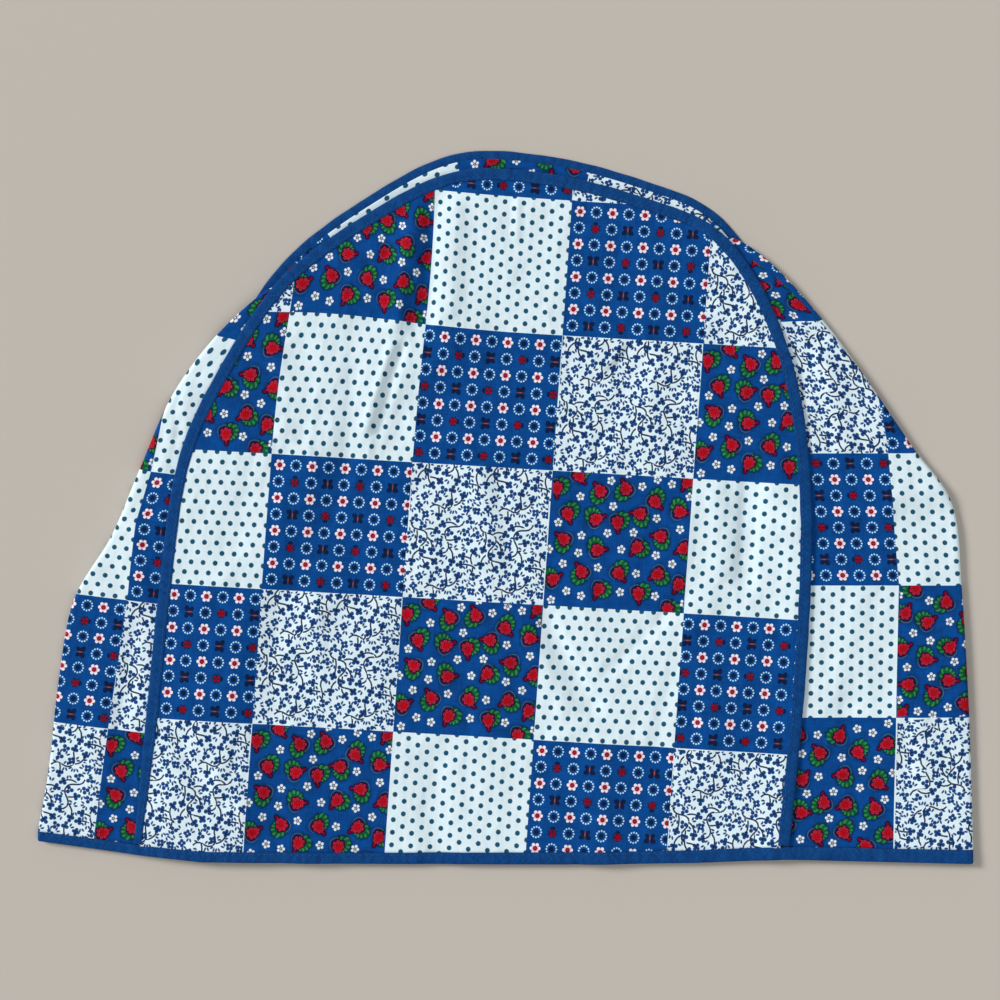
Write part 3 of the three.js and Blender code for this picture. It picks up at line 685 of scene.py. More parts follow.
# The flower design: six-petalled flowers, rings of dots, butterflies and ladybirds in square order
# on the blue ground. On every second column of patches the insects lie crosswise.
CELL = (8.8, 8.4)               # mm, width and height of a motif's place
FIRST_CELL = (0.5, -7.25)
CROSSWISE_SHIFT = 6.75
flower_print, net, (x, y, ground, crosswise, dark), give = new_group(
    "Flower design", {"X": 0.0, "Y": 0.0, "Ground": INK["blue ground"], "Crosswise": 0.0,
                      "Dark": INK["dark"]})
x, y = x - FIRST_CELL[0] - crosswise * CROSSWISE_SHIFT, y - FIRST_CELL[1]
i, j = net.floor(x / CELL[0]), net.floor(y / CELL[1])
x, y = x - (i + 0.5) * CELL[0], y - (j + 0.5) * CELL[1]
insect, flower = (i % 2.0) * (j % 2.0), (1.0 - i % 2.0) * (1.0 - j % 2.0)
ring = 1.0 - insect - flower
ladybird = insect * ((((i + j) / 2) % 2.0) < 0.5)
butterfly = insect - ladybird
lobes, middle = net.use(petals, x, y, 6.0, 2.05)
star = net.inside(net.use(petals, x, y, 8.0, 0.9)[0], 0.55, 0.4) | net.inside(net.length(x, y), 0.8)
color = net.paint(
    ground,
    (net.inside(lobes, 1.3, 0.5) * flower * 0.5, dark),
    ((net.inside(lobes, 0.92) | net.inside(middle, 1.7)) * flower, INK["petals"]),
    (net.inside(middle, 1.7, 0.8) * flower * 0.6, INK["petal base"]),
    (net.inside(middle, 1.3) * flower, INK["flower middle"]),
    (net.inside(middle, 0.45) * flower * 0.5, INK["pollen"]),
    (net.inside(net.use(petals, x, y, 12.0, 2.72)[0], 0.45) * ring, INK["ring of dots"]),
    (star * ring * 0.9, dark))
x, y = x + crosswise * (y - x), y + crosswise * (x - y)
y = y * (1.0 - 2.0 * (((i + 1.0) % 4.0) < 2.0))
side = abs(x)
upper, lower = net.turned(side, y, 0.62), net.turned(side, y, -0.7)
wings = net.oval(*upper, 1.9, 0.0, 1.9, 1.25) | net.oval(*lower, 1.7, 0.0, 1.65, 1.15)
feelers = net.line(side * 1.1 - y + 1.4, 0.35) * (abs(y - 2.7) < 0.7)
legs = net.line(abs(y) - 1.0, 0.4) * (side < 2.8)
head, rim = net.oval(x, y, 0.0, 2.2, 1.4, 1.1), net.oval(x, y, 0.0, -0.3, 2.3, 2.3)
wing_case = net.oval(x, y, 0.0, -0.3, 1.8, 1.95) * ladybird
spots = net.inside(net.use(petals, x, y + 0.3, 4.0, 1.25)[0], 0.5) | net.line(x, 0.45)
give(net.paint(
    color,
    ((wings | feelers) * butterfly * 0.92, dark),
    (net.oval(x, y, 0.0, -0.2, 0.32, 1.3) * butterfly * 0.8, INK["insect body"]),
    ((legs | head | rim) * ladybird * 0.9, dark),
    (wing_case, INK["wing case"]),
    (spots * wing_case * 0.85, dark)))

# The patchwork: which design a place has, by its column and row of patches. On every second
# column, and all over the second half of the strip, the insects lie crosswise. So do the rows
# of dots, but on the panels only from the middle column on.
UPRIGHT_FROM_COLUMN = 8.5
SECOND_HALF = {"columns": 4.0, "rows": 7.5}
patchwork, net, (width, height, paling), give = new_group(
    "Patchwork print", {"Patch width": PATCH[0], "Patch height": PATCH[1], "Wrong side paling": 0.45})
u, v, side = net.split(net.attribute("print"))
column, row = net.floor(u / width), net.floor(v / height)
x, y = u - column * width, v - row * height
jump = (row > REPEAT_JUMP["above_row"]) * (column > REPEAT_JUMP["right_of_column"])
design = (column - row + jump * float(REPEAT_JUMP["by"])) % 4.0
even = 1.0 - column % 2.0
second_half = (column < SECOND_HALF["columns"]) * (row > SECOND_HALF["rows"])
upright = even * (column > UPRIGHT_FROM_COLUMN) | second_half
dots = net.use(dot_print, x, y, INK["white ground"], upright)[0]
flowers = net.use(flower_print, x, y, INK["blue ground"], even | second_half)[0]
color = net.paint(
    net.use(vine_print, x, y)[0],
    (net.same(design, BERRY), net.use(berry_print, x, y)[0]),
    (net.same(design, DOT), dots),
    (net.same(design, FLOWER), flowers))
give(net.mix(side * paling, color, INK["paled"]))

# Plain weave: threads over and under each other as a height, and slubs as a slight shade.
weave, net, (place, thread, slub), give = new_group(
    "Plain weave", {"Place": (0.0, 0.0, 0.0), "Thread": 0.45, "Slub": 0.34}, ("Height", "Shade"))
x, y, _ = net.split(place)
per = net.math("DIVIDE", math.pi, thread)
slubs = net.noise(x * 0.12, y * 2.1, 1.0) + net.noise(x * 2.1, y * 0.12, 1.0) - 1.0
give(net.math("SINE", x * per) * net.math("SINE", y * per), slubs * slub)

# Washed crumple: soft folds that are too small to model.
crumple, net, (place, size), give = new_group(
    "Washed crumple", {"Place": (0.0, 0.0, 0.0), "Size": 26.0}, ("Height",))
x, y, _ = net.split(place)
x, y = x / size, y / size
give(net.noise(x * 1.3, y * 0.7, 3.0) * 0.7 - abs(net.noise(x * 0.7, y * 0.7, 1.0) - 0.5) * 0.7)

# Cotton is dull, with next to no sheen.
COTTON = {"Roughness": 0.9, "Specular IOR Level": 0.12, "Sheen Weight": 0.03}
THREADS = {"distance": 0.00006, "strength": 0.5}


def new_material(name, constants):
    """A material, the net of its nodes and the inputs of its shader, with the constants set."""
    made = bpy.data.materials.new(name)
    made.use_nodes = True
    shader = made.node_tree.nodes["Principled BSDF"].inputs
    for label, value in constants.items():
        shader[label].default_value = value
    return made, Net(made.node_tree), shader


FADED = {"patches": 7.0, "by": 0.36, "from": 0.32, "share": 0.8}      # mm, and greys laid over the print
CRUMPLED = {"distance": 0.003, "strength": 0.8}
printed_cotton, net, shader = new_material("printed_cotton", COTTON)
place = net.attribute("print")
threads, shade = net.use(weave, place)
x, y, _ = net.split(place)
shade = shade + net.noise(x / FADED["patches"], y / FADED["patches"]) * FADED["by"] + FADED["from"]
net.put(shader["Base Color"], net.mix(
    FADED["share"], net.use(patchwork)[0], net.join(shade, shade, shade), "OVERLAY"))
rough = net.bump(net.use(crumple, place)[0], **CRUMPLED)
net.put(shader["Normal"], net.bump(threads, **THREADS, Normal=rough))

# How the patches lie on the strip. Over the top they run along the front seam. On the outward
# folds they follow the line between two columns of them, given as (y, x), and the row that
# starts at row_at. One lay passes into the other between two shares of the seam.
COLUMN_LINE = {"along": (0, 170, 750, 920), "out_from_seam": (18, 11.5, 45, 57)}
LEFT_PRINT = {
    "column_line": [(-172, -217), (-116, -209.7), (-47, -199.4), (-7, -194.7), (21, -186.4), (56, -179),
                    (104, -160), (125, -146)],
    "outward": -1, "row": 1, "row_at": -115.6, "rows_run": 1.028, "lean": 0.12, "from": 0.345, "to": 0.27}
RIGHT_PRINT = {
    "column_line": [(-177, 203.5), (-109, 204.9), (-39, 206.5), (35, 200), (60, 195), (100, 184), (140, 165)],
    "outward": 1, "row": 12, "row_at": -109.8, "rows_run": -1.0, "lean": 0.0, "from": 0.64, "to": 0.7}
# The far side of the strip, in the tuck, was sewn a little askew: mm along, at places along.
TUCK_SKEW = {"at": (290, 330, 347, 417), "by": (0, 8, 8, 0), "sets_in_over_rows": 15}
# At the right shoulder a margin of the strip's far side lies outside its fold, one layer lower.
SHOULDER = {"from": 0.624, "to": 0.735, "width": 7.0, "least_width": 0.4, "drop": 0.7, "edge": (-0.3, 0.3),
            "print_at": -6, "eases_over": 12}
# The grid of the sheet: stations along it, then rows on its upper run, in the tuck and between.
STATIONS = {"along": 425, "at_turns": 20}
UPPER_ROWS = 42
TUCK_ROWS = {"count": 22, "finer_at_start": 1.6}
LOWER_ROWS = (5, 6, 5)
GUSSET_CREASES = [
    (168, 78, 176, 30, 1.1, 8), (186, -40, 172, -96, 0.9, 9), (214, 20, 196, -8, 0.9, 8),
    (180, -104, 186, -160, -0.8, 9), (222, -110, 226, -160, 0.9, 11), (-200, -20, -192, -46, 0.9, 8),
    (-214, -84, -218, -150, 0.9, 10), (-168, 66, -182, 20, 0.7, 5), (-196, -70, -204, -120, -0.8, 7),
    (162, 96, 154, 60, -0.7, 6)]
GUSSET_HANDLING = {"count": 90, "seed": 5}


def plan_print(plan, laid):
    rows = np.array(laid["column_line"])
    past = plan[..., 0] - np.interp(plan[..., 1], rows[:, 0], rows[:, 1])
    v = (plan[..., 1] + laid["lean"] * past - laid["row_at"]) * laid["rows_run"]
    return np.stack([PATCH[0] - past * laid["outward"], PATCH[1] * laid["row"] + v], -1)


def gusset_print(u, across, plan, reach):
    """The print's place on the strip, and how far each place is out on the shoulder's margin."""
    along = u * front_seam.length
    past_line = across - np.interp(along, *COLUMN_LINE.values())[:, None]
    place = np.stack([PATCH[0] - past_line, np.broadcast_to(along[:, None], across.shape)], -1)
    beyond = across[:, UPPER_ROWS:] - across[:, UPPER_ROWS:UPPER_ROWS + 1]
    for laid in (LEFT_PRINT, RIGHT_PRINT):
        on_fold = plan_print(plan, laid)
        on_fold[:, UPPER_ROWS:] = on_fold[:, UPPER_ROWS:UPPER_ROWS + 1]
        on_fold[:, UPPER_ROWS:, 0] -= beyond
        way = laid["outward"]
        share = smoothstep(u * way, laid["from"] * way, laid["to"] * way)
        place = lerp(place, on_fold, share[:, None, None])
    far_side = np.clip((np.arange(across.shape[1]) - UPPER_ROWS) / TUCK_SKEW["sets_in_over_rows"], 0, 1)
    place[..., 1] += far_side * np.interp(along, TUCK_SKEW["at"], TUCK_SKEW["by"])[:, None]
    width = SHOULDER["width"] * np.clip((SHOULDER["to"] - u) / (SHOULDER["to"] - SHOULDER["from"]), 0, 1)
    shows = ((u > SHOULDER["from"]) & (width > SHOULDER["least_width"]))[:, None]
    out_by = across - (reach - width)[:, None]
    place[..., 0] = np.where(shows & (out_by > 0), SHOULDER["print_at"] - out_by, place[..., 0])
    return place, smoothstep(np.where(shows, out_by, -1), *SHOULDER["edge"])


def gusset_sheet():
    """The strip's two sides as grids of points, from hem to hem, and the print's place on them."""
    turns = [np.linspace(end - TURN, end + TURN, STATIONS["at_turns"]) for end in FOLD_ENDS]
    u = np.unique(np.concatenate([np.linspace(0, 1, STATIONS["along"])] + turns))
    lie = lie_at(u)
    upper_q, upper_z = split_straight(*fold_run(lie), UPPER_ROWS)
    tuck_q, tuck_z = split_straight(*tuck_run(lie), TUCK_ROWS["count"], TUCK_ROWS["finer_at_start"])
    start, end = upper_q[:, -1], tuck_q[:, -1]
    foot = np.minimum(lie["back"] + RAMP["foot"], start - RAMP["clear"])
    top = np.minimum(lie["back"] + RAMP["top"], foot - RAMP["clear"])
    runs = []
    for first, last, count in zip((start, foot, top), (foot, top, end), LOWER_ROWS):
        t = np.linspace(0, 1, count + 1)[None, 1:]
        runs.append(lerp(first[:, None], last[:, None], t))
    lower_q = np.hstack(runs)[:, :-1]
    lower_z = return_height(lie, lower_q)
    slid = (start[:, None] - lower_q) / (start - end)[:, None]
    slid = np.hstack([np.zeros_like(upper_q), slid, np.ones_like(tuck_q)]) * lie["slide"][:, None]
    q = np.hstack([upper_q, lower_q, tuck_q[:, ::-1]])
    z = np.hstack([upper_z, lower_z, tuck_z[:, ::-1]])
    steps = np.hypot(np.diff(q), np.diff(z))
    across = np.concatenate([np.zeros((len(u), 1)), np.cumsum(steps, axis=1)], axis=1)
    plan = lie["seam"][:, None] + lie["out"][:, None] * q[..., None] + lie["along"][:, None] * slid[..., None]
    place, on_margin = gusset_print(u, across, plan, lie["reach"])
    # How far above the fold's end each place of the upper run is: 1 at the seam, 0 past the fold.
    above = np.zeros_like(q)
    rise = np.maximum(upper_z[:, :1] - upper_z[:, -1:], 0.1)
    above[:, :upper_z.shape[1]] = np.clip((upper_z - upper_z[:, -1:]) / rise, 0, 1)
    hump = np.zeros(q.shape[1])
    hump[:UPPER_ROWS] = np.sin(np.linspace(0, np.pi, UPPER_ROWS))
    creases = GUSSET_CREASES + handling_folds(**GUSSET_HANDLING)
    z = z + crease_height(creases, plan[..., 0], plan[..., 1]) * hump
    eased = np.clip(lie["reach"] / SHOULDER["eases_over"], 0, 1)[:, None]
    z -= SHOULDER["drop"] * on_margin * above * eased
    turn_q, turn_z = np.gradient(q, axis=1), np.gradient(z, axis=1)
    size = np.hypot(turn_q, turn_z)
    normal_q, normal_z = -turn_z / size, turn_q / size
    sides = []
    for half in (CLOTH / 2, -CLOTH / 2):
        spread = lie["out"][:, None] * (normal_q * half)[..., None]
        sides.append(np.concatenate([plan + spread, np.maximum(z + normal_z * half, 0)[..., None]], axis=-1))
    return sides[0], sides[1], place


face, lining, place = gusset_sheet()
gusset = closed_sheet("gusset_strip", face[:, ::-1], lining[:, ::-1], place[:, ::-1])
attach(gusset, "root")
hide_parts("gusset")

# ---------------------------------------------------------------------------------------------
# The front panel: a dome of the printed cotton, cut on the straight grain and sewn to the strip
# all round its curve. It lies uppermost, over the tuck at the top, with the creases of storage.
# ---------------------------------------------------------------------------------------------
SAG = (3.7, 1.7)                # mm, height of its middle, usual and least
OVER_TUCK = {"slack": 1.7, "least": 0.35, "from": 34, "to": 9}       # mm above its fold, and inside it
BESIDE_SEAM = 18                # mm from the seam, where the panel turns up or down to meet it
SEAM_TAPE = {"at_left_hem": 4.2, "elsewhere": 2 * HALF_SEAM_TAPE, "widens_over": 0.08}
INTO_TAPE = 1.5                 # mm of the cloth's edge that the tape holds
PANEL_CORNERS = (0.34, 0.657)   # shares of the seam where the grid of a panel has its upper corners
FRONT_GRID = (210, 216)         # faces across and up
FRONT_HEM = [(-160, -180.6), (-100, -181.2), (-35, -181.3), (40, -181.1), (100, -180)]
FRONT_CREASES = [
    (-50, 168, -56, 100, 1.6, 8), (-38, 172, -42, 98, -2.6, 5), (-26, 165, -30, 104, 1.4, 8),
    (-60, 85, -73, 44, 1.5, 4.5), (-55, 85, -69, 40, -1.4, 4), (-44, 88, -60, 30, -0.8, 8),
    (-74, 40, -80, 12, 1.0, 8), (130, 18, 126, -36, -2.0, 8), (112, 10, 112, -30, 1.0, 9),
    (-138, 6, -142, -20, -1.3, 12), (22, -62, 46, -102, -1.5, 9), (10, -60, 30, -104, 1.0, 9),
    (-172, -122, -154, -156, -1.5, 9), (-38, -134, -36, -182, -1.3, 12), (48, -130, 52, -182, 1.3, 14),
    (-112, -120, -104, -182, 1.2, 16), (-12, 20, -8, -48, 1.2, 14), (80, 84, 76, 40, 0.9, 12),
    (-96, -20, -100, -70, 0.9, 14), (96, -60, 110, -120, 1.0, 13), (60, 150, 58, 110, -0.8, 10)]
FINE_CREASES = [
    (-59, 80, -69, 54, -0.7, 1.7), (-66, 52, -75, 20, 0.5, 2.6), (6.5, 170, 5, 143, 0.9, 3),
    (28, -58, 46, -96, 0.6, 3), (126, 14, 124, -28, -0.6, 4), (-166, -126, -152, -158, 0.6, 3),
    (60, -20, 74, -44, 0.4, 3), (-100, 60, -104, 30, 0.35, 3)]
FRONT_HANDLING = {"count": 90, "seed": 3}
AT_A_TIME = 6000                # places whose nearest part of the seam is looked for in one step


def seam_tape_width(u):
    return lerp(SEAM_TAPE["at_left_hem"], SEAM_TAPE["elsewhere"], smoothstep(u, 0, SEAM_TAPE["widens_over"]))


def cloth_edge(seam, u, hem_edge):
    """The edge of a panel's cloth, inside the tape of its seam, and on the hem at both ends."""
    edge = seam.at(u) - seam.outward(u) * (seam_tape_width(u) / 2 - INTO_TAPE)[:, None]
    at_hem = (u == 0) | (u == 1)
    edge[at_hem, 1] = hem_edge(edge[at_hem, 0])
    return edge


def seam_level(u):
    return fold_run(lie_at(u))[1][:, 0] + TAPE_ON_CLOTH


def edge_line(rows):
    """The y of a hem at any x, straight between the places of a table."""
    table = np.array(rows, float)
    return lambda x: np.interp(x, table[:, 0], table[:, 1])


upper_edge = edge_line([LEFT_FOLD[0], FRONT_SEAM[0]] + FRONT_HEM + [FRONT_SEAM[-1], RIGHT_FOLD[0]])

seam_samples = np.linspace(0, 1, 361)
sampled = lie_at(seam_samples)
sampled_fold = [run[:, -1] for run in tuck_run(sampled)]
sampled_level = seam_level(seam_samples)
sampled_half = seam_tape_width(seam_samples) / 2


def front_height(x, y):
    """The front panel's height: sagging in the middle, over the tuck, and up to the seam's level."""
    creases = FRONT_CREASES + FINE_CREASES + handling_folds(**FRONT_HANDLING)
    height = np.empty(x.size)
    flat_x, flat_y = x.ravel(), y.ravel()
    for start in range(0, x.size, AT_A_TIME):
        some = slice(start, start + AT_A_TIME)
        px, py = flat_x[some], flat_y[some]
        away = np.hypot(px[:, None] - sampled["seam"][:, 0], py[:, None] - sampled["seam"][:, 1])
        best = away.argmin(axis=1)
        distance = away.min(axis=1)
        crease = crease_height(creases, px, py)
        fold_q, fold_z = sampled_fold[0][best], sampled_fold[1][best]
        on_tuck = fold_z + LAYER + np.maximum(OVER_TUCK["slack"] + crease, OVER_TUCK["least"])
        over_tuck = smoothstep(-distance, fold_q - OVER_TUCK["from"], fold_q - OVER_TUCK["to"])
        inside = lerp(np.maximum(SAG[0] + crease, SAG[1]), on_tuck, over_tuck)
        beside = smoothstep(-distance, -BESIDE_SEAM, -sampled_half[best])
        height[some] = lerp(inside, sampled_level[best], beside)
    return height.reshape(x.shape)


def dome_grid(seam, hem_edge, across, up):
    """A four-sided grid of places that fills a panel between its hem and its seam."""
    corners = PANEL_CORNERS
    left = cloth_edge(seam, np.linspace(0, corners[0], up + 1), hem_edge)[:, None]
    top = cloth_edge(seam, np.linspace(*corners, across + 1), hem_edge)[None]
    right = cloth_edge(seam, np.linspace(1, corners[1], up + 1), hem_edge)[:, None]
    hem_x = np.linspace(left[0, 0, 0], right[0, 0, 0], across + 1)
    hem = np.column_stack([hem_x, hem_edge(hem_x)])[None]
    s = np.linspace(0, 1, across + 1)[None, :, None]
    t = np.linspace(0, 1, up + 1)[:, None, None]
    blend = hem * (1 - t) + top * t + left * (1 - s) + right * s
    return (blend - hem[:, :1] * (1 - s) * (1 - t) - hem[:, -1:] * s * (1 - t)
            - top[:, :1] * (1 - s) * t - top[:, -1:] * s * t)


# The patchwork on a panel: its columns lean a little, as it was cut, and it is pulled askew
# where the tuck passes under its left shoulder.
PANEL_PRINT = {"column": 9, "at_x": -125.5, "width": 74.2, "lean": 0.0707,
               "row": 1, "at_y": -120.6, "height": 71.1, "slope": 0.058}
PULLED = {"at": (-95, 135), "radius": 42, "by": (7.0, 5.5)}


def panel_print(plan):
    x, y = plan[..., 0], plan[..., 1]
    away = (x - PULLED["at"][0]) ** 2 + (y - PULLED["at"][1]) ** 2
    pulled = np.exp(-away / (2 * PULLED["radius"] ** 2))
    x, y = x - PULLED["by"][0] * pulled, y - PULLED["by"][1] * pulled
    right = x - PANEL_PRINT["lean"] * y - PANEL_PRINT["at_x"]
    up = y + PANEL_PRINT["slope"] * x - PANEL_PRINT["at_y"]
    u = PATCH[0] * (PANEL_PRINT["column"] + right / PANEL_PRINT["width"])
    v = PATCH[1] * (PANEL_PRINT["row"] + up / PANEL_PRINT["height"])
    return np.stack([u, v], -1)


plan = dome_grid(front_seam, upper_edge, *FRONT_GRID)
middle = front_height(plan[..., 0], plan[..., 1])
face, lining = [np.dstack([plan, middle + half]) for half in (CLOTH / 2, -CLOTH / 2)]
front_panel = closed_sheet("front_dome", face, lining, panel_print(plan))
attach(front_panel, "root")
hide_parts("front_panel")

# ---------------------------------------------------------------------------------------------
# The back panel: the same dome of the printed cotton, right side down. It lies flat on the
# surface, a little askew under the front one, and carries the rest.
# ---------------------------------------------------------------------------------------------
BACK_HEM = [(-60, -178.6), (60, -178.8)]
BACK_GRID = (120, 120)
SLACK = {"height": 0.25, "along_x": 21, "along_y": 27}
back_ends = [tuple(back_seam.at(np.array([end]))[0]) for end in (0.0, 1.0)]
lower_edge = edge_line([LEFT_FOLD[0], back_ends[0]] + BACK_HEM + [back_ends[1], RIGHT_FOLD[0]])
plan = dome_grid(back_seam, lower_edge, *BACK_GRID)
slack = SLACK["height"] * np.sin(plan[..., 0] / SLACK["along_x"]) * np.sin(plan[..., 1] / SLACK["along_y"])
height = FLOOR_LAYER + np.maximum(slack, 0)
inner, outer = [np.dstack([plan, height + half])[:, ::-1] for half in (CLOTH / 2, -CLOTH / 2)]
back_panel = closed_sheet("back_dome", outer, inner, panel_print(plan)[:, ::-1])
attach(back_panel, "root")
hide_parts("back_panel")

# ---------------------------------------------------------------------------------------------
# The seam tapes: quarter-inch double-fold bias tape of plain blue cotton, folded over the raw
# edges of panel and strip and topstitched along its inner edge. One on each dome seam.
# ---------------------------------------------------------------------------------------------
TAPE_SKIN = 0.4                 # mm, thickness of the folded tape on each side of the cloth
TAPE_ENDS = 0.0012              # share of the seam that each cut end stops short of it
SEAM_STATIONS = 760
WIDTH_VARIES = {"by": 0.035, "short": 3.1, "long": 17.0}            # share of it, and mm to a radian
STITCH_INSET = {"seam": 1.3, "hem": 1.2}                              # mm from the tape's inner edge


def tape_mesh(name, middles, across, widths, closed, open_side=-1):
    """Tape folded over an edge: a thin skin in a U, open towards open_side, along a path in mm."""
    count = len(middles)
    if closed:
        along = np.roll(middles, -1, axis=0) - np.roll(middles, 1, axis=0)
    else:
        along = np.gradient(middles, axis=0)
    along /= np.linalg.norm(along, axis=1, keepdims=True)
    up = np.cross(along, across)
    up /= np.linalg.norm(up, axis=1, keepdims=True)
    # The upper half of the U in section: a thick lip, the dip of the stitches, and a round fold.
    h, zero, top = widths / 2, np.zeros(count), np.full(count, TAPE / 2)
    below = top - TAPE_SKIN
    outer = [(-h, top - 0.22), (0.25 - h, top - 0.05), (0.6 - h, top), (1.1 - h, top - 0.1),
             (zero, top - 0.03), (h - 0.9, top), (h - 0.3, top - 0.25), (h, zero + 0.2)]
    inner = [(h - 0.45, zero), (h - 0.9, below), (zero, below), (0.1 - h, below - 0.2)]
    profile = outer + [(a, -b) for a, b in outer[::-1] + inner[:0:-1]] + inner
    sides = len(profile)
    aside = np.stack([a for a, _ in profile], 1) * -open_side
    raised = np.stack([b for _, b in profile], 1)
    if open_side > 0:
        aside, raised = aside[:, ::-1], raised[:, ::-1]
    points = middles[:, None] + across[:, None] * aside[..., None] + up[:, None] * raised[..., None]
    grid = np.arange(count * sides).reshape(count, sides)
    onward = np.roll(grid, -1, axis=0)[:count if closed else count - 1]
    here = grid[:len(onward)]
    quads = np.stack([here, np.roll(here, -1, axis=1), np.roll(onward, -1, axis=1), onward], -1)
    faces = quads.reshape(-1, 4)[:, ::-1].tolist()
    if not closed:
        faces += end_faces(grid[0], False) + end_faces(grid[-1], True)
    piece = place_mesh(name, points, faces, material=bias_tape)
    steps = np.linalg.norm(np.diff(middles, axis=0), axis=1)
    run = np.concatenate([[0], np.cumsum(steps)])
    grain = np.stack([np.repeat(run, sides), aside.ravel(), np.zeros(count * sides)], -1)
    keep_vectors(piece.data, "grain", "POINT", grain)
    return piece


# Which point of the inner skin each of the 16 points of the outer skin is closed to, at a cut end.
INNER_PARTNER = (0, 0, 0, 0, 1, 2, 3, 3, 3, 3, 4, 5, 6, 6, 6, 6)


def end_faces(ring, flip):
    outer = [int(k) for k in ring[:len(INNER_PARTNER)]]
    inner = [int(k) for k in ring[:len(INNER_PARTNER) - 1:-1]]
    faces = []
    for k in range(len(outer) - 1):
        b, d = INNER_PARTNER[k:k + 2]
        face = [outer[k], outer[k + 1], inner[d]] + ([inner[b]] if b != d else [])
        faces.append(face[::-1] if flip else face)
    return faces


# Plain blue cotton cut on the bias: its threads cross the tape at 45 degrees, and it is paler
# along the slubs. Painted shade darkens it in the hollows of the puckers, and painted light makes it paler on
# their crests.
# dark: the blue with painted shade in the pucker hollows; light: painted light on the pucker crests; slub:
# paler threads
TAPE_BLUE_WITH_PAINTED_SHADE_AND_LIGHT = {"dark": srgb(0, 48, 109), "light": srgb(8, 76, 141), "slub": srgb(40, 112, 176)}
BIAS_WEAVE = (0.4, 0.4)         # mm from thread to thread, and how much the slubs shade it
PUCKERED = {"distance": 0.0013, "strength": 0.7}
SLANT = math.sqrt(0.5)
bias_tape, net, shader = new_material("bias_tape", COTTON)
along, aside, _ = net.split(net.attribute("grain"))
bias = net.join((along + aside) * SLANT, (along - aside) * SLANT)
threads, shade = net.use(weave, bias, *BIAS_WEAVE)
# one noise is both the puckers' bump height and the mask of their painted shade and painted light
pucker_height_and_painted_shade = net.noise(along * 0.22, aside * 0.09, 3.0)
net.put(shader["Base Color"], net.paint(
    TAPE_BLUE_WITH_PAINTED_SHADE_AND_LIGHT["dark"],
    (net.math("MULTIPLY_ADD", pucker_height_and_painted_shade, 0.9, -0.12, clamp=True), TAPE_BLUE_WITH_PAINTED_SHADE_AND_LIGHT["light"]),
    (net.math("ADD", shade, 0.1, clamp=True), TAPE_BLUE_WITH_PAINTED_SHADE_AND_LIGHT["slub"])))
net.put(shader["Normal"], net.bump(threads, **THREADS, Normal=net.bump(pucker_height_and_painted_shade, **PUCKERED)))


def seam_tape(name, seam, level_at):
    """The tape along a seam, and the path of its topstitching."""
    u = np.linspace(TAPE_ENDS, 1 - TAPE_ENDS, SEAM_STATIONS)
    middles = np.column_stack([seam.at(u), level_at(u)])
    along = u * seam.length
    ripple = np.sin(along / WIDTH_VARIES["short"]) * np.sin(along / WIDTH_VARIES["long"])
    width = seam_tape_width(u) * (1 + WIDTH_VARIES["by"] * ripple)
    across = np.column_stack([seam.outward(u), np.zeros(len(u))])
    piece = tape_mesh(name, middles, across, width, closed=False)
    path = middles - across * (width / 2 - STITCH_INSET["seam"])[:, None] + np.array([0, 0, TAPE / 2])
    return piece, path


front_tape, front_stitch_path = seam_tape("front_tape", front_seam, seam_level)
back_tape, back_stitch_path = seam_tape("back_tape", back_seam, lambda u: np.full(len(u), TAPE / 2))
for piece, node, seam in ((front_tape, "front_binding", front_seam), (back_tape, "back_binding", back_seam)):
    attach(piece, "root")
    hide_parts(node)

# ---------------------------------------------------------------------------------------------
# The hem tape: the same bias tape folded over the raw edge of the opening, all the way round,
# and joined end to end. The panels and the strip run into it.
# ---------------------------------------------------------------------------------------------
HEM_TAPE = (5.2, 7.4)           # mm wide at the left and right
HEM_MEETS = 14                  # mm to either side of a seam, where the tape passes onto the panel
HEM_HOLDS = 0.48                # mm of the cloth's edge that it holds
INSIDE_SEAM = 3                 # mm inside a seam, the last place where the panel's height counts
HEM_STATIONS = 330              # along the upper run, and as many along the lower one
HEM_ROUND = 12                  # round each end


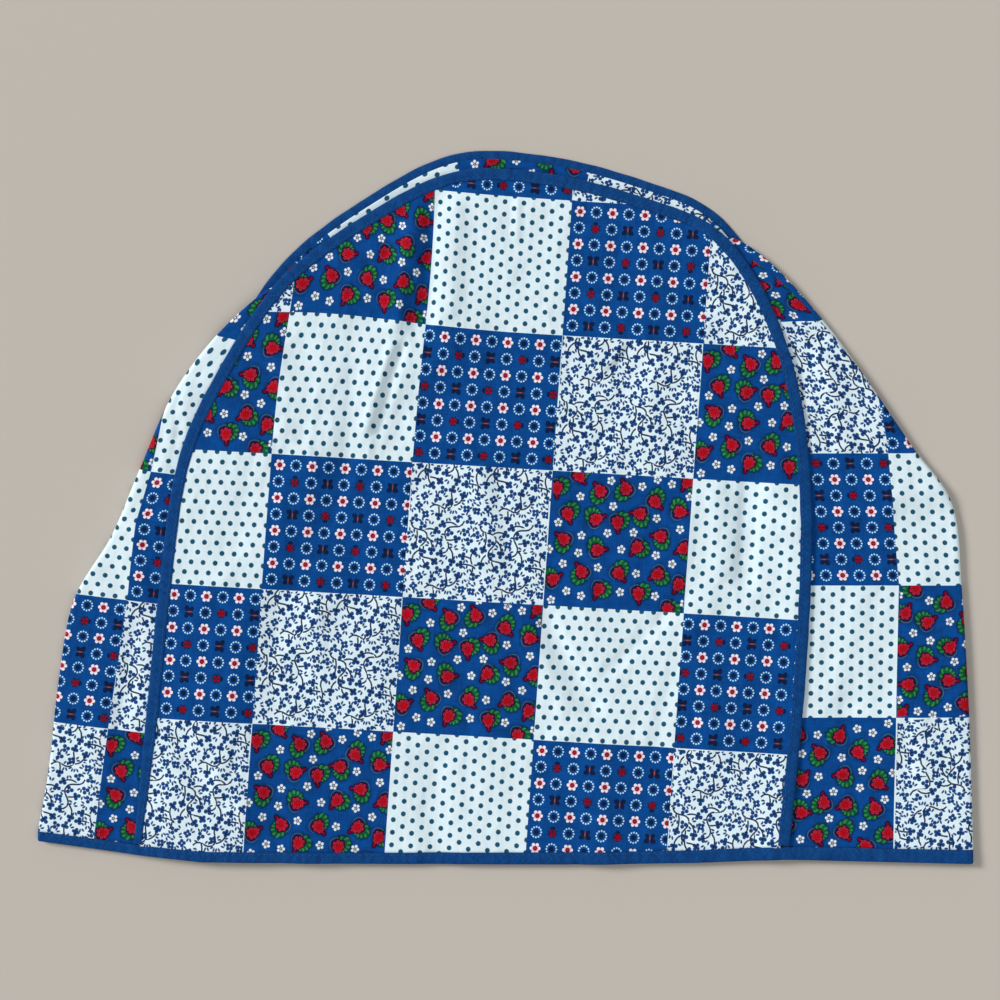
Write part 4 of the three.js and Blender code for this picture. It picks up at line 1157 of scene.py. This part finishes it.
def hem_tape():
    """The hem tape, the path of its topstitching, and its length all round."""
    ends = lie_at(np.array([0.0, 1.0]))
    levels = upper_height(ends)
    seam_x = ends["seam"][:, 0]
    radius = (levels - TAPE / 2) / 2
    left = LEFT_FOLD[0][0] + TAPE / 2 + radius[0]
    right = RIGHT_FOLD[0][0] - TAPE / 2 - radius[1]

    def upper_level(x):
        on_panel = np.clip(x, seam_x[0] + INSIDE_SEAM, seam_x[1] - INSIDE_SEAM)
        panel = np.maximum(front_height(on_panel, upper_edge(on_panel)), TAPE * 1.5 + GAP)
        from_left = smoothstep(x, seam_x[0] - HEM_MEETS, seam_x[0] + HEM_MEETS)
        to_right = smoothstep(x, seam_x[1] - HEM_MEETS, seam_x[1] + HEM_MEETS)
        return lerp(lerp(levels[0], panel, from_left), levels[1], to_right)

    top_x = np.linspace(left, right, HEM_STATIONS)
    low_x = np.linspace(right, left, HEM_STATIONS)
    angle = np.linspace(0, np.pi, HEM_ROUND + 2)[1:-1]
    x = np.concatenate([top_x, right + radius[1] * np.sin(angle), low_x, left - radius[0] * np.sin(angle)])
    z = np.concatenate([upper_level(top_x), TAPE / 2 + radius[1] * (1 + np.cos(angle)),
                        np.full(len(low_x), TAPE / 2), TAPE / 2 + radius[0] * (1 - np.cos(angle))])
    edge_x = np.clip(x, left, right)
    edge = upper_edge(edge_x)
    lower_run = slice(HEM_STATIONS + HEM_ROUND, 2 * HEM_STATIONS + HEM_ROUND)
    edge[lower_run] = lower_edge(edge_x[lower_run])
    width = np.interp(x, [LEFT_FOLD[0][0], RIGHT_FOLD[0][0]], HEM_TAPE)
    middles = np.column_stack([x, edge - width / 2 + HEM_HOLDS, z])
    across = np.tile([0.0, 1.0, 0.0], (len(x), 1))
    piece = tape_mesh("hem_tape", middles, across, width, closed=True, open_side=1)
    path = middles[:HEM_STATIONS].copy()
    path[:, 1] += width[:HEM_STATIONS] / 2 - STITCH_INSET["hem"]
    path[:, 2] += TAPE / 2
    return piece, path, np.linalg.norm(np.diff(middles, axis=0), axis=1).sum()


hem, hem_stitch_path, hem_length = hem_tape()
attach(hem, "root")
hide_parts("hem_binding")
hem_length * MM

# ---------------------------------------------------------------------------------------------
# The topstitching: blue cotton thread in straight stitches, sewn by machine just inside
# the edge of each tape. Each stitch dips into the tape at both ends.
# ---------------------------------------------------------------------------------------------
EACH_VARIES = (0.82, 1.12)      # times the size
SEAM_STITCH = {"Pitch": 0.0029, "Stitch": 0.0021, "Thread": 0.00026}      # metres
HEM_STITCH = {"Pitch": 0.0033, "Stitch": 0.0024}
straight_stitches, net, (row, pitch, stitch, thread, seed, material), give = new_group(
    "Straight stitches", {"Geometry": "Geometry", **SEAM_STITCH, "Seed": 5, "Material": "Material"},
    ("Geometry",), "Geometry")
path = net.out("GeometryNodeMeshToCurve", {0: row})
places = net.node("GeometryNodeCurveToPoints", {"Curve": path, "Length": pitch}, mode="LENGTH").outputs
bead = net.out("GeometryNodeMeshIcoSphere", {"Radius": 1.0, "Subdivisions": 1})
shaped = net.out("GeometryNodeTransform", {"Geometry": bead, "Scale": net.join(thread, thread, stitch * 0.5)})
varied = net.out(
    "FunctionNodeRandomValue", {2: EACH_VARIES[0], 3: EACH_VARIES[1], "Seed": seed}, 1, data_type="FLOAT")
sewn = net.out("GeometryNodeInstanceOnPoints", {
    "Points": Field(net, places["Points"]), "Instance": shaped, "Rotation": Field(net, places["Rotation"]),
    "Scale": varied})
real = net.out("GeometryNodeRealizeInstances", {"Geometry": sewn})
give(net.out("GeometryNodeSetMaterial", {"Geometry": real, "Material": material}))

THREAD_BLUE = {"dark": srgb(6, 60, 124), "light": srgb(40, 102, 164)}
STREAKS = (900.0, 310.0)        # to the metre
blue_thread, net, shader = new_material("blue_thread", {"Roughness": 0.7, "Specular IOR Level": 0.2})
run, _, _ = net.split(net.out("ShaderNodeTexCoord", {}, "Object"))
streaks = net.noise(run * STREAKS[0], run * STREAKS[1])
net.put(shader["Base Color"], net.mix(streaks, THREAD_BLUE["dark"], THREAD_BLUE["light"]))


def stitch_row(name, path, **sizes):
    """A row of stitches along a path, as one plain mesh."""
    guide = place_mesh(name + "_path", path, [], [(k, k + 1) for k in range(len(path) - 1)])
    modifier = guide.modifiers.new("stitches", "NODES")
    modifier.node_group = straight_stitches
    sizes["Material"] = blue_thread
    for item in straight_stitches.interface.items_tree:
        if item.in_out == "INPUT" and item.name in sizes:
            modifier[item.identifier] = sizes[item.name]
    evaluated = guide.evaluated_get(bpy.context.evaluated_depsgraph_get())
    made = bpy.data.meshes.new_from_object(evaluated)
    made.name = name
    piece = bpy.data.objects.new(name, made)
    scene.collection.objects.link(piece)
    guide.modifiers.clear()
    bpy.data.objects.remove(guide)
    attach(piece, "root")


stitch_row("front_topstitch", front_stitch_path, Seed=3)
stitch_row("back_topstitch", back_stitch_path, Seed=4)
stitch_row("hem_topstitch", hem_stitch_path, Seed=5, **HEM_STITCH)

# ---------------------------------------------------------------------------------------------
# The studio: a pale floor under the cover, one soft distant light from the left of the dome, a
# weaker one opposite, an even pale surround, and a camera straight above the cloth.
# ---------------------------------------------------------------------------------------------
floor_mesh = bpy.data.meshes.new("floor")
floor_mesh.from_pydata([(-9, -9, 0), (9, -9, 0), (9, 9, 0), (-9, 9, 0)], [], [(0, 1, 2, 3)])
pale, _, _ = new_material("pale_floor", {"Base Color": srgb(199, 191, 180), "Roughness": 0.9})
floor_mesh.materials.append(pale)
floor = bpy.data.objects.new("floor", floor_mesh)
scene.collection.objects.link(floor)

SURROUND = {"lights_by": 0.36, "seen_more_by": 0.34}
world = bpy.data.worlds.new("soft_surround")
scene.world = world
world.use_nodes = True
background = world.node_tree.nodes["Background"].inputs
background["Color"].default_value = (0.93, 0.96, 1.0, 1.0)
net = Net(world.node_tree)
seen = net.out("ShaderNodeLightPath", {}, "Is Camera Ray")
net.put(background["Strength"], seen * SURROUND["seen_more_by"] + SURROUND["lights_by"])


def distant_light(name, come_from, spread, power):
    lamp = bpy.data.lights.new(name, "SUN")
    lamp.angle = spread
    lamp.energy = power
    made = bpy.data.objects.new(name, lamp)
    made.location = come_from
    east, north, up = come_from
    made.rotation_euler = (math.atan2(math.hypot(east, north), up), 0, math.atan2(east, -north))
    scene.collection.objects.link(made)


distant_light("main_light", come_from=(-1.0, 0.45, 0.6), spread=0.3, power=2.7)
distant_light("fill_light", come_from=(0.8, -0.5, 1.2), spread=0.8, power=0.54)

FRAME = {"across": 0.5255, "right": -3.4 * MM, "up": 4.7 * MM, "floor_to_cloth": 0.005}     # metres
camera = bpy.data.cameras.new("camera")
camera.sensor_width = 36.0
camera.lens = 65.0
camera.clip_start = 0.05
above = FRAME["across"] * camera.lens / camera.sensor_width + FRAME["floor_to_cloth"]
eye = bpy.data.objects.new("camera", camera)
eye.location = (table_origin[0] + FRAME["right"], table_origin[1] + FRAME["up"], above)
scene.collection.objects.link(eye)
scene.camera = eye

bpy.context.view_layer.update()
